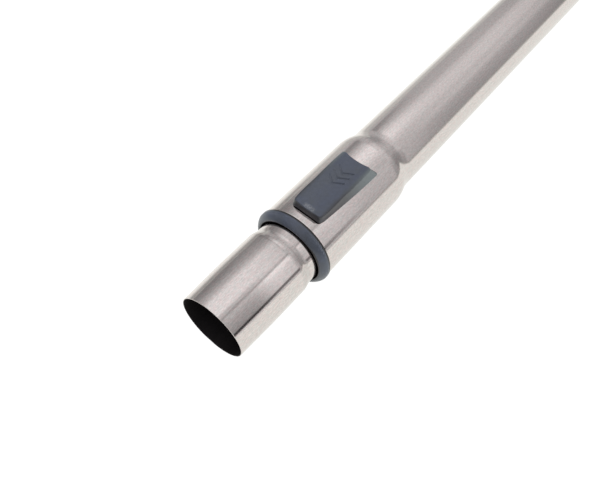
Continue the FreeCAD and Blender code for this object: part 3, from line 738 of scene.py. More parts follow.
def s_step(along: np.ndarray, start: float, length: float, first: float, last: float) -> np.ndarray:
    """Height of an S-shaped step of two equal arcs, each tangent to the wall that it joins.

    The arcs' radius is (length squared + height squared) / (4 height). Each half bends away from its
    wall by the radius minus the root of the radius squared minus the squared distance from the wall.

    Args:
        along: places along the wand.
        start: where the step starts.
        length: how long it is.
        first: the height before it.
        last: the height after it.

    Returns:
        The height at each place.
    """
    height = abs(last - first)
    radius = (length ** 2 + height ** 2) / (4 * height)
    sign = math.copysign(1.0, last - first)
    t = np.clip(along - start, 0.0, length)
    near = radius - np.sqrt(radius ** 2 - np.minimum(t, length / 2) ** 2)
    far = radius - np.sqrt(radius ** 2 - np.minimum(length - t, length / 2) ** 2)
    return np.where(t < length / 2, first + sign * near, last - sign * far)


def unit(vector: np.ndarray) -> np.ndarray:
    """A vector, or each of a row of vectors, brought to length one."""
    return vector / np.linalg.norm(vector, axis=-1, keepdims=True)


def evened(line: np.ndarray, count: int, front_cut: float = 0.0, rear_cut: float = 0.0) -> np.ndarray:
    """Points at even distances along a line that may be cut back at its ends.

    Args:
        line: the line's points.
        count: number of new points.
        front_cut: length left out at its start.
        rear_cut: length left out at its end.

    Returns:
        The new points.
    """
    reach = np.concatenate([[0.0], np.cumsum(np.linalg.norm(np.diff(line, axis=0), axis=1))])
    even = np.linspace(front_cut, reach[-1] - rear_cut, count)
    return np.column_stack([np.interp(even, reach, line[:, axis]) for axis in (0, 1)])


def rounded_loop(corners: list[tuple], hold: float = 0.25) -> np.ndarray:
    """Closed outline whose corners are rounded.

    An arc touches both sides at radius times the tangent of half the turn from its corner, and a
    point is kept on each side just beyond it.

    Args:
        corners: the corners in order, (across, up) or with an arc (across, up, radius, steps).
        hold: distance of the kept points from the arcs.

    Returns:
        The outline's points, without the first one repeated.
    """
    places = np.array([corner[:2] for corner in corners], float)
    parts = []
    for number, (here, corner) in enumerate(zip(places, corners)):
        if len(corner) == 2:
            parts.append(here[None, :])
            continue
        radius, steps = corner[2:]
        back, ahead = places[number - 1] - here, places[(number + 1) % len(corners)] - here
        back_reach, ahead_reach = np.linalg.norm(back), np.linalg.norm(ahead)
        back, ahead = unit(back), unit(ahead)
        half = math.acos(max(-1.0, min(1.0, float(back @ ahead)))) / 2
        reach = radius / math.tan(half)
        middle = here + unit(back + ahead) * radius / math.sin(half)
        t = np.linspace(-1.0, 1.0, steps + 1)[:, None] * (math.pi / 2 - half)
        out = unit(here - middle)
        side = unit(ahead - (ahead @ out) * out)
        arc = middle + radius * (np.cos(t) * out + np.sin(t) * side)
        before = here + back * min(reach + hold, back_reach * SIDE_SHARE)
        after = here + ahead * min(reach + hold, ahead_reach * SIDE_SHARE)
        parts.append(np.vstack([before, arc, after]))
    return np.concatenate(parts)


def arc_centre(start: np.ndarray, stop: np.ndarray, radius: float, left: bool) -> np.ndarray:
    """Centre of an arc from one place to another.

    It stands off the chord's middle by the root of the radius squared minus half the chord squared.

    Args:
        start: the arc's first point.
        stop: its last point.
        radius: its radius.
        left: whether it turns left on its way.

    Returns:
        The centre.
    """
    chord = stop - start
    length = np.linalg.norm(chord)
    side = np.array([-chord[1], chord[0]]) / length * (1 if left else -1)
    return (start + stop) / 2 + side * math.sqrt(radius ** 2 - length ** 2 / 4)


def arc_between(start: np.ndarray, stop: np.ndarray, radius: float, left: bool, steps: int) -> np.ndarray:
    """Points of an arc from one place to another.

    It sweeps twice the arcsine of half the chord over the radius, in even steps.

    Args:
        start: the arc's first point.
        stop: its last point.
        radius: its radius.
        left: whether it turns left on its way.
        steps: number of even steps.

    Returns:
        The points.
    """
    centre = arc_centre(start, stop, radius, left)
    begin = math.atan2(*(start - centre)[::-1])
    sweep = 2 * math.asin(np.linalg.norm(stop - start) / 2 / radius) * (1 if left else -1)
    t = begin + sweep * np.linspace(0.0, 1.0, steps + 1)
    return centre + radius * np.column_stack([np.cos(t), np.sin(t)])


def crossing(first: np.ndarray, first_r: float, second: np.ndarray, second_r: float,
             near: np.ndarray) -> np.ndarray:
    """The place where two circles cross that is nearer to a given one.

    It lies (reach squared + first radius squared - second radius squared) / (2 reach) along the line
    between the centres, and the rest of the first radius to the side.

    Args:
        first: centre of one circle.
        first_r: its radius.
        second: centre of the other circle.
        second_r: its radius.
        near: a place near the wanted crossing.

    Returns:
        The crossing.
    """
    reach = np.linalg.norm(second - first)
    ahead = (second - first) / reach
    along = (reach ** 2 + first_r ** 2 - second_r ** 2) / (2 * reach)
    aside = np.array([-ahead[1], ahead[0]]) * math.sqrt(first_r ** 2 - along ** 2)
    places = (first + ahead * along + aside, first + ahead * along - aside)
    return min(places, key=lambda place: float(np.linalg.norm(place - near)))


@dataclass
class SteelTubes:
    """The outer tube with its swaged collar, and the inner tube with pressed notches and groove."""

    steel: bpy.types.Material
    sides: int = 160
    wall: float = 0.5
    tube_r: float = 18.0
    collar_r: float = 20.15
    collar_length: float = 55.0
    shoulder_length: float = 13.5
    outer_length: float = 504.5
    socket_depth: float = 42.0
    bead_width: float = 4.0
    bead_height: float = 0.7
    slot_start: float = 9.0
    slot_length: float = 26.0
    slot_half: float = 6.5
    slot_corner: float = 2.0
    cutter_reach: float = 3.0
    inner_r: float = 16.5
    mouth_r: float = 16.85
    spigot_r: float = 17.4
    stick_out: float = 55.5
    inner_depth: float = 444.0
    mouth_taper: float = 21.0
    taper_ease: float = 6.0
    spigot_straight: float = 20.0
    neck_length: float = 6.0
    notch_count: int = 13
    notch_pitch: float = 30.0
    notch_place: float = 22.0
    notch_r: float = 1.95
    notch_axis: float = 16.9
    notch_width: float = 0.2
    groove_r: float = 3.0
    groove_axis: float = 18.2
    groove_start: float = -5.5
    crease: float = 0.3
    peg_place: float = 438.0
    peg_hole_r: float = 1.6
    peg_sides: int = 32
    rim_points: int = 9
    # Where painted shade starts on an inner tube rim, as an angle of its half circle, and how far that angle
    # moves up at the top and down at the bottom.
    rim_turn: float = 1.4
    rim_shine: float = 0.9
    dent_depth: float = 0.42
    dent_length: float = 10.0
    dent_turn: float = 171.8
    dent_half: float = 8.0

    def build(self) -> list[bpy.types.Object]:
        """Build and dress both tubes."""
        return [self._outer(), self._inner()]

    def _outer_profile(self, along: np.ndarray, off: float) -> np.ndarray:
        """Radius along the outer tube: collar, S-shaped shoulder, tube, and the bead pressed inward.

        The bead is the arc over its width whose rise is its height.

        Args:
            along: places along the wand.
            off: what is taken off the radius, the wall for the inner skin.

        Returns:
            Place and radius of each point.
        """
        radius = s_step(along, self.collar_length, self.shoulder_length, self.collar_r, self.tube_r)
        bend = (self.bead_width ** 2 / 4 + self.bead_height ** 2) / (2 * self.bead_height)
        middle = self.outer_length - self.socket_depth - self.bead_width / 2
        reach = np.minimum(np.abs(along - middle), self.bead_width / 2)
        sink = np.sqrt(bend ** 2 - reach ** 2) - (bend - self.bead_height)
        return np.column_stack([along, radius - np.maximum(sink, 0.0) - off])

    def _wall_loop(self, outer: np.ndarray, inner: np.ndarray) -> np.ndarray:
        """Close a wall whose two rims are half circles over its thickness.

        Args:
            outer: the outer skin's profile.
            inner: the inner skin's.

        Returns:
            The profile all round the wall.
        """
        t = np.linspace(0.0, math.pi, self.rim_points)[1:-1]
        half = self.wall / 2
        bend = half * np.column_stack([np.sin(t), np.cos(t)])
        rear = outer[-1] - [0.0, half] + bend
        front = outer[0] - [0.0, half] + bend * [-1, 1]
        return np.vstack([outer, rear, inner[::-1], front[::-1]])

    def _outer(self) -> bpy.types.Object:
        """Turn the outer tube's wall, with close rows where it bends, cut the slot and dress it.

        Painted shade darkens the skin from the middle of the rear rim on, that is the inner skin and the
        front rim.

        Returns:
            The outer tube.
        """
        half = self.wall / 2
        end = self.outer_length - half
        shoulder = self.collar_length + self.shoulder_length
        bead = self.outer_length - self.socket_depth
        along = np.concatenate([
            [half, half + 0.5, 20.0, 40.0, self.collar_length - 1.0],
            np.linspace(self.collar_length, shoulder, 33),
            [shoulder + 1.0, 90.0, 200.0, 320.0, bead - self.bead_width - 0.5],
            np.linspace(bead - self.bead_width, bead, 15),
            [bead + 0.5, 480.0, end - 0.5, end],
        ])
        loop = self._wall_loop(self._outer_profile(along, 0.0), self._outer_profile(along, self.wall))
        turns = even_turns(self.sides)
        # Painted shade on the outer tube's inner skin and front rim.
        painted_shade_mask = np.zeros((len(loop), len(turns)))
        painted_shade_mask[len(along) + self.rim_points // 2:] = 1.0
        piece = new_mesh("outer_tube_steel", [Grid(turned(*loop.T[..., None], turns), True, True)], [painted_shade_mask])
        cut_away(piece, self._slot_cutter())
        return finish_piece(piece, self.steel, Body.OUTER, "outer_tube")

    def _slot_cutter(self) -> bpy.types.Object:
        """Stand a rounded prism through the top of the collar, with ends that meet in their middle.

        Returns:
            The cutter.
        """
        start, stop, half = self.slot_start, self.slot_start + self.slot_length, self.slot_half
        loop = rounded_loop([(s, y, self.slot_corner, 6) for s, y in
                             ((start, -half), (stop, -half), (stop, half), (start, half))])
        middle = loop.mean(axis=0)
        plan = middle + (loop - middle) * np.array([POLE, 1.0, 1.0, POLE])[:, None, None]
        ends = np.array([self.tube_r - self.cutter_reach, self.collar_r + self.cutter_reach])
        points = stacked(plan[..., 0], plan[..., 1], np.repeat(ends, 2)[:, None])
        return new_mesh("slot_cutter", [Grid(points, False, True)])

    def _plain(self, s: np.ndarray) -> np.ndarray:
        """Radius of the inner tube before it is pressed: taper, spigot, S-shaped neck and tube.

        The taper is straight up to the spigot, less a parabola over the ease on both sides of their
        corner: the squared distance into it over four times the ease.

        Args:
            s: places along the wand.

        Returns:
            The radius at each place.
        """
        neck_start = self.mouth_taper - self.stick_out + self.spigot_straight
        run, ease = (s + self.stick_out) / self.mouth_taper, self.taper_ease / self.mouth_taper
        eased = np.clip(run - 1 + ease, 0.0, 2 * ease) ** 2 / (4 * ease)
        taper = run - eased - np.maximum(run - 1 - ease, 0.0)
        return np.where(s < neck_start, self.mouth_r + (self.spigot_r - self.mouth_r) * taper,
                        s_step(s, neck_start, self.neck_length, self.spigot_r, self.inner_r))

    def _pressed(self, along: np.ndarray, turns: np.ndarray, off: float) -> np.ndarray:
        """Radius of the inner tube's skin at each place and angle.

        A notch is a cylinder across the top, so its floor is at (axis height minus the root of
        radius squared minus distance squared) over the cosine of the angle. The key groove is a
        cylinder along the bottom with a round end, at axis times cosine minus the root of radius
        squared minus (axis times sine) squared. Both grow by the wall for the inner skin. The
        mouth's bottom edge has a shallow dent, a bell curve round the wand that fades along it.

        Args:
            along: places along the wand.
            turns: angles from the top.
            off: what is taken off the radius, the wall for the inner skin.

        Returns:
            The radius, places by angles.
        """
        s, top, side = along[:, None], np.cos(turns)[None, :], np.sin(turns)[None, :]
        fade = smooth_share(1.0 - (s + self.stick_out) / self.dent_length)
        dent = self.dent_depth * fade * bell_round(turns, self.dent_turn, self.dent_half)
        last = (self.notch_count - 1) * self.notch_pitch
        nearest = np.round((s - self.notch_place) / self.notch_pitch) * self.notch_pitch
        gap = s - self.notch_place - np.clip(nearest, 0.0, last)
        reach = (self.notch_r + off) ** 2 - gap ** 2
        floor = (self.notch_axis - np.sqrt(np.maximum(reach, 0.0))) / np.maximum(top, self.notch_width)
        notch = np.where((reach > 0) & (top > self.notch_width), floor, CLEAR)
        before = np.minimum(s - self.groove_start, 0.0)
        room = (self.groove_r + off) ** 2 - before ** 2 - (self.groove_axis * side) ** 2
        hollow = -self.groove_axis * top - np.sqrt(np.maximum(room, 0.0))
        groove = np.where((room > 0) & (top < 0), hollow, CLEAR)
        skin = smooth_least(self._plain(s) - off - dent, notch, self.crease)
        return smooth_least(skin, groove, self.crease)

    def _inner(self) -> bpy.types.Object:
        """Press the inner tube's wall on a grid, with close rows where it bends, drill it and dress it.

        Painted shade darkens the inner skin, and each rim past an angle of its half circle that is larger
        towards the top.

        Returns:
            The inner tube.
        """
        half = self.wall / 2
        front, rear = half - self.stick_out, self.inner_depth - half
        straight = self.mouth_taper - self.stick_out
        neck = straight + self.spigot_straight
        notches = self.notch_place + np.arange(self.notch_count)[:, None] * self.notch_pitch
        rows = np.concatenate([
            [front, front + 0.4, front + 4.0], np.linspace(front + 8.0, straight - 6.6, 3),
            np.linspace(straight - self.taper_ease, straight + self.taper_ease, 13),
            [straight + 6.8, neck - 6.0, neck - 0.6], np.linspace(neck, neck + self.neck_length, 15),
            np.linspace(self.groove_start - 2.8, self.groove_start, 8), [-2.0, 5.0, 13.0],
            (notches[:-1] + self.notch_pitch * np.array([0.25, 0.5, 0.75])).ravel(),
            [400.0, 420.0, 437.0, rear - 0.4, rear],
        ])
        turns = np.radians(np.unique(np.concatenate([
            np.arange(-32.0, 32.1, 1.3), np.arange(-180.0, -163.9, 0.8), np.arange(164.0, 180.0, 0.8),
            np.arange(-163.0, -32.5, 4.0), np.arange(34.0, 164.0, 4.0)])))
        grids, painted_shade_masks, rims = [], [], []
        for inside, off, near in ((0.0, 0.0, np.linspace(-2.3, 2.3, 19)),
                                  (1.0, self.wall, np.linspace(-2.7, 2.7, 11))):
            along = np.unique(np.concatenate([rows, (notches + near).ravel()]))
            radius = self._pressed(along, turns, off)
            grids.append(Grid(turned(along[:, None], radius, turns), False, True))
            painted_shade_masks.append(np.full(radius.shape, inside))
            rims.append(radius[[0, -1]])
        t = np.linspace(0.0, math.pi, self.rim_points)[:, None]
        for tip, side, outer, inner in zip((front, rear), (-1, 1), *rims):
            radius = (outer + inner) / 2 + np.cos(t) * (outer - inner) / 2
            grids.append(Grid(turned(tip + side * np.sin(t) * half, radius, turns), False, True))
            # Painted shade on a rim from an angle of its half circle on; less of the rim is darkened at the
            # top.
            painted_shade_masks.append((t > self.rim_turn + self.rim_shine * np.cos(turns)) * 1.0)
        piece = new_mesh("inner_tube_steel", grids, painted_shade_masks)
        reach, hole_r = self.inner_r + self.cutter_reach, self.peg_hole_r
        drill = np.array([[-reach, POLE], [-reach, hole_r], [reach, hole_r], [reach, POLE]])
        cut_away(piece, new_mesh("peg_drill", [pin(drill, self.peg_sides, self.peg_place, 0.0)]))
        return finish_piece(piece, self.steel, Body.INNER, "inner_tube")


@dataclass
class EndRing:
    """The slate ring with its rounded nose on the collar rim."""

    plastic: bpy.types.Material
    sides: int = 180
    bore_r: float = 17.3
    outer_r: float = 20.6
    sleeve_r: float = 19.6
    felt_r: float = 18.1
    front: float = -5.0
    nose_length: float = 3.0
    nose_drop: float = 2.4
    nose_r: float = 6.0
    lip: float = 0.4
    small_round: float = 0.15
    felt_round: float = 0.1
    undercut: tuple = (0.15, 0.20)
    rim_gap: float = 0.3
    gap_shade: float = 1.0
    gap_edge: float = 0.02
    gap_depth: float = 0.3
    gap_margin: float = 0.01
    nose_lead: float = 0.6
    shade_start: float = 0.1
    shade_width: float = 1.15
    shade_turn: float = 308.0
    shade_half: float = 26.0
    spigot: float = 4.0

    def build(self) -> list[bpy.types.Object]:
        """Turn the ring from its rounded section and dress it.

        Painted shade darkens its bore, a crescent of the bore's lip whose width is a bell curve round the
        wand, all of it from the collar rim rearward, and a thin band of its outer face at the rear edge.

        Returns:
            The ring.
        """
        shoulder = self.front + self.nose_length
        nose = arc_between(np.array([shoulder, self.outer_r]),
                           np.array([self.front, self.outer_r - self.nose_drop]), self.nose_r, True, 20)
        loop = rounded_loop([
            (0.0, self.bore_r, self.small_round, 3), (0.0, self.felt_r),
            (self.spigot, self.felt_r, self.felt_round, 2), (self.spigot, self.sleeve_r, self.small_round, 3),
            (0.0, self.sleeve_r), (0.0, self.sleeve_r + self.undercut[0]),
            (-self.rim_gap, self.sleeve_r + self.undercut[1]),
            (-self.rim_gap, self.outer_r, self.small_round, 5),
            (-self.gap_shade + self.gap_edge, self.outer_r), (-self.gap_shade - self.gap_edge, self.outer_r),
            (shoulder + self.nose_lead, self.outer_r), *map(tuple, nose),
            (self.front, self.bore_r, self.lip, 7),
        ])
        turns = even_turns(self.sides)
        along, radius = loop.T[..., None]
        # Painted shade: the bore, the crescent, the rear and a band at the rear edge are darkened.
        crescent = self.shade_width * bell_round(turns, self.shade_turn, self.shade_half)
        shade = radius < self.bore_r + self.shade_start + crescent
        gap = (along > -self.gap_shade) & (radius > self.outer_r - self.gap_depth)
        painted_shade_mask = (shade | gap | (along > -self.rim_gap - self.gap_margin)) * 1.0
        piece = new_mesh("end_ring_slate", [Grid(turned(along, radius, turns), True, True)], [painted_shade_mask])
        return [finish_piece(piece, self.plastic, Body.OUTER, "end_ring")]


@dataclass
class SlideButton:
    """The wedge-shaped slide button with its crowned, grooved top, hollow underneath."""

    plastic: bpy.types.Material
    front_corner: float = 4.2
    front_half: float = 8.1
    front_bow: float = 27.0
    side_bow: float = 525.0
    rear_corner: float = 46.4
    rear_half: float = 10.3
    rear_bow: float = 17.0
    base: float = 17.5
    draft: float = math.tan(math.radians(14.5))
    draft_inset: float = 1.6
    crown: float = 23.7
    crown_r: float = 34.0
    wall: float = 1.5
    ceiling: float = 21.45
    front_round: float = 2.1
    rear_round: float = 1.1
    edge_r: float = 0.45
    edge_half_turn: float = 37.5
    tuck: float = 0.55
    tuck_end: float = 9.0
    tuck_run: float = 5.0
    flare: float = 1.7
    flare_reach: float = 3.6
    flare_lean: float = 0.6
    lean: float = 0.9
    lean_start: float = 16.0
    lean_top: float = 1.5
    steepen: float = 0.75
    steepen_end: float = 24.0
    steepen_run: float = 16.0
    side_start: float = 5.0
    side_run: float = 3.0
    seat_r: float = 20.35
    raised_r: float = 20.8
    lift_end: float = 7.6
    lift_ramp: float = 1.3
    chevrons: tuple = (23.2, 26.85, 30.5)
    chevron_sweep: float = 3.1
    chevron_half: float = 4.2
    chevron_line: float = 0.95
    chevron_depth: float = 0.4
    chevron_slope: float = 0.28
    chevron_wear: float = 0.5
    wear_start: float = -0.2
    wear_run: float = 1.4
    peg_places: tuple = (17.0, 33.0)
    peg_r: float = 1.25
    peg_depth: float = 0.7
    peg_slope: float = 0.3
    across: int = 92
    along: int = 210
    repeats: int = 25
    side_points: int = 600
    corner_points: int = 41

    def build(self) -> list[bpy.types.Object]:
        """Build the button's shell from its walls, its top and its ceiling, and dress it.

        The top edge is a parabola from the wall to the crown whose handle is the sharp edge.

        Returns:
            The button.
        """
        top = self._height_on(0.0, self._crown)
        run = self.edge_r * math.tan(math.radians(self.edge_half_turn))
        walls = self._at(np.linspace(self._height_on(0.0, self._seat), top - run, 14), 0.0)
        end = self._at(top, run)
        end[:, 2] = self._crown(end)
        t = np.linspace(0.0, 1.0, 6)[:, None, None]
        edge = (1 - t) ** 2 * self._at(top - run, 0.0) + 2 * t * (1 - t) * self._at(top, 0.0) + t ** 2 * end
        lining = self._at(np.linspace(self._height_on(self.wall, self._seat), self.ceiling, 5), self.wall)
        foot = np.stack([walls[0], lining[0]])
        grids = [Grid(walls, False, True), Grid(edge, False, True), Grid(self._top(end)),
                 Grid(foot, False, True), Grid(lining, False, True), Grid(self._roof(lining[-1]))]
        piece = new_mesh("slide_button_slate", grids)
        return [finish_piece(piece, self.plastic, Body.SLIDER, "slider_cap")]

    @cached_property
    def _rim(self) -> tuple[np.ndarray, np.ndarray]:
        """Outline at the drawing height, and what each point moves for one millimetre of inset."""
        first = self._drawn(0.0)
        return first, (self._drawn(self.draft_inset) - first) / self.draft_inset

    def _drawn(self, inset: float) -> np.ndarray:
        """Closed outline of four arcs with rounded corners, moved inward by an inset.

        Each arc keeps its centre: one that bulges loses the inset from its radius, and the hollow
        one gains it. Each of the four sides runs from the middle of one rounded corner to the next
        and has evenly spaced points, so that opposite sides match.

        Args:
            inset: the distance inward.

        Returns:
            The outline's points, without the first one repeated.
        """
        front, rear = self.front_corner, self.rear_corner
        ends = np.array([(front, self.front_half), (front, -self.front_half),
                         (rear, -self.rear_half), (rear, self.rear_half)])
        bows = (self.front_bow, self.side_bow, self.rear_bow, self.side_bow)
        lefts = (True, True, False, True)
        centres = [arc_centre(ends[n], ends[(n + 1) % 4], bows[n], lefts[n]) for n in range(4)]
        radii = [bow - inset if left else bow + inset for bow, left in zip(bows, lefts)]
        moved = [crossing(centres[n - 1], radii[n - 1], centres[n], radii[n], ends[n]) for n in range(4)]
        sides = [arc_between(moved[n], moved[(n + 1) % 4], radii[n], lefts[n], self.side_points)
                 for n in range(4)]
        trimmed, corners = self._rounded(sides)
        half = self.corner_points // 2
        parts = []
        for number, count in enumerate((self.across, self.along) * 2):
            line = np.vstack([corners[number - 1][half:], trimmed[number], corners[number][:half + 1]])
            parts.append(evened(line, count + 1)[:-1])
        return np.concatenate(parts)

    def _rounded(self, sides: list[np.ndarray]) -> tuple[list[np.ndarray], list[np.ndarray]]:
        """Cut the sides back at their corners and join them with cubic curves of the corner radius.

        A cut is the radius times the tangent of half the turn; the curve's handles are 4/3 of the
        radius times the tangent of a quarter of the turn.

        Args:
            sides: the points of the four sides, in order.

        Returns:
            The shortened sides, and the corner curve that follows each.
        """
        cuts, handles = [], []
        rounds = (self.front_round, self.rear_round, self.rear_round, self.front_round)
        for number, radius in enumerate(rounds):
            a, b = sides[number], sides[(number + 1) % 4]
            turn = math.acos(float(unit(a[-1] - a[-2]) @ unit(b[1] - b[0])))
            cuts.append(radius * math.tan(turn / 2))
            handles.append(4 / 3 * radius * math.tan(turn / 4))
        trimmed = [evened(side, self.side_points, cuts[number - 1], cuts[number])
                   for number, side in enumerate(sides)]
        t = np.linspace(0.0, 1.0, self.corner_points)[:, None]
        corners = []
        for number, handle in enumerate(handles):
            a, b = trimmed[number], trimmed[(number + 1) % 4]
            leave = a[-1] + unit(a[-1] - a[-2]) * handle
            arrive = b[0] - unit(b[1] - b[0]) * handle
            corners.append((1 - t) ** 3 * a[-1] + 3 * t * (1 - t) ** 2 * leave
                           + 3 * t ** 2 * (1 - t) * arrive + t ** 3 * b[0])
        return trimmed, corners

    def _outline(self, inset: np.ndarray) -> np.ndarray:
        """Outline drawn smaller by an inset that may differ from point to point.

        The rear corners flare out to the rear at the bottom and lean in at the top, by a bell curve of
        the distance from the corner. The side walls lean in more and more towards the rear, and stand
        steeper in front. The front edge is tucked back.

        Args:
            inset: the inset at each point, in one row or more.

        Returns:
            The points' places along and across the wand.
        """
        first, move = self._rim
        inset = inset[..., None]
        share = np.clip(inset / self.draft / (self.crown - self.base - self.lean_top), 0.0, 1.0)
        s, y = first[:, :1], first[:, 1:]
        near = bell(np.hypot(s - self.rear_corner, np.abs(y) - self.rear_half), self.flare_reach)
        back = np.clip((s - self.lean_start) / (self.rear_corner - self.lean_start), 0.0, 1.0) ** 2
        fore = smooth_share((self.steepen_end - s) / self.steepen_run)
        beside = smooth_share((np.abs(y) - self.side_start) / self.side_run)
        lean = (self.lean * back - self.steepen * fore) * beside * share
        tucked = self.tuck * smooth_share((self.tuck_end - s) / self.tuck_run)
        push = near * (self.flare * (1 - share) - self.flare_lean * share) + tucked
        return first + move * inset + np.concatenate([push, -np.sign(y) * lean], axis=-1)

    def _at(self, height: np.ndarray, extra: float) -> np.ndarray:
        """Points of the drafted wall at a height, moved inward by an extra inset."""
        plan = self._outline((height - self.base) * self.draft + extra)
        return np.concatenate([plan, height[..., None]], axis=-1)

    def _height_on(self, extra: float, surface: Callable[[np.ndarray], np.ndarray]) -> np.ndarray:
        """Height at which the drafted wall meets a surface, found by repetition.

        Args:
            extra: the wall's extra inset.
            surface: gives a height over each of a row of points.

        Returns:
            The height at each point of the outline.
        """
        height = np.full(len(self._rim[0]), self.seat_r)
        for _ in range(self.repeats):
            height = surface(self._at(height, extra))
        return height

    def _crown(self, points: np.ndarray) -> np.ndarray:
        """Height of the crowned top, a cylinder along the wand."""
        return self.crown - self.crown_r + np.sqrt(self.crown_r ** 2 - points[..., 1] ** 2)

    def _seat(self, points: np.ndarray) -> np.ndarray:
        """Height of the underside, which follows the collar and is raised in front."""
        share = np.clip((self.lift_end - points[..., 0]) / self.lift_ramp, 0.0, 1.0)
        return np.sqrt((self.seat_r + (self.raised_r - self.seat_r) * share) ** 2 - points[..., 1] ** 2)

    def _patch(self, edge: np.ndarray) -> np.ndarray:
        """Fill a closed outline of four sides with a Coons patch.

        A point is the mean line between opposite sides in each direction, added up, less the
        surface that is drawn straight between the four corners.

        Args:
            edge: the outline's points.

        Returns:
            The patch, rows by columns by three.
        """
        n, m = self.across, self.along
        front, right = edge[:n + 1], edge[n:n + m + 1]
        rear = edge[n + m:2 * n + m + 1][::-1]
        left = np.vstack([edge[2 * n + m:], edge[:1]])[::-1]
        u = np.linspace(0.0, 1.0, n + 1)[None, :, None]
        v = np.linspace(0.0, 1.0, m + 1)[:, None, None]
        ruled = (1 - v) * front[None] + v * rear[None] + (1 - u) * left[:, None] + u * right[:, None]
        corner = ((1 - u) * (1 - v) * front[0] + u * (1 - v) * front[-1]
                  + (1 - u) * v * rear[0] + u * v * rear[-1])
        return ruled - corner

    def _top(self, edge: np.ndarray) -> np.ndarray:
        """The crowned top inside its rounded edge, with the chevrons sunk into it.

        A chevron's line lies where s minus its point minus the sweep times |y| over its half width
        is between nothing and the line's width; its walls slope over about a quarter of a
        millimetre, and it is shallower on the worn left side.

        Args:
            edge: the inner end of the rounded edge.

        Returns:
            The top, rows by columns by three.
        """
        points = self._patch(edge)
        s, y = points[..., 0], points[..., 1]
        sunk = np.zeros_like(s)
        ends = smooth_share((self.chevron_half - np.abs(y)) / self.chevron_slope + 0.5)
        graded = 1.0 - self.chevron_wear * smooth_share((y - self.wear_start) / self.wear_run)
        for point in self.chevrons:
            offset = s - point - self.chevron_sweep * np.abs(y) / self.chevron_half
            beyond = self.chevron_line / 2 - np.abs(offset - self.chevron_line / 2)
            sunk = np.maximum(sunk, smooth_share(beyond / self.chevron_slope + 0.5) * ends * graded)
        height = self._crown(points) - self.chevron_depth * sunk
        points[1:-1, 1:-1, 2] = height[1:-1, 1:-1]
        return points

    def _roof(self, edge: np.ndarray) -> np.ndarray:
        """The flat ceiling of the hollow, with the two round peg recesses, whose walls slope a little.

        Args:
            edge: the upper end of the hollow's wall.

        Returns:
            The ceiling, rows by columns by three.
        """
        points = self._patch(edge)
        for place in self.peg_places:
            away = np.hypot(points[..., 0] - place, points[..., 1])
            points[..., 2] += self.peg_depth * smooth_share((self.peg_r - away) / self.peg_slope + 0.5)
        return points


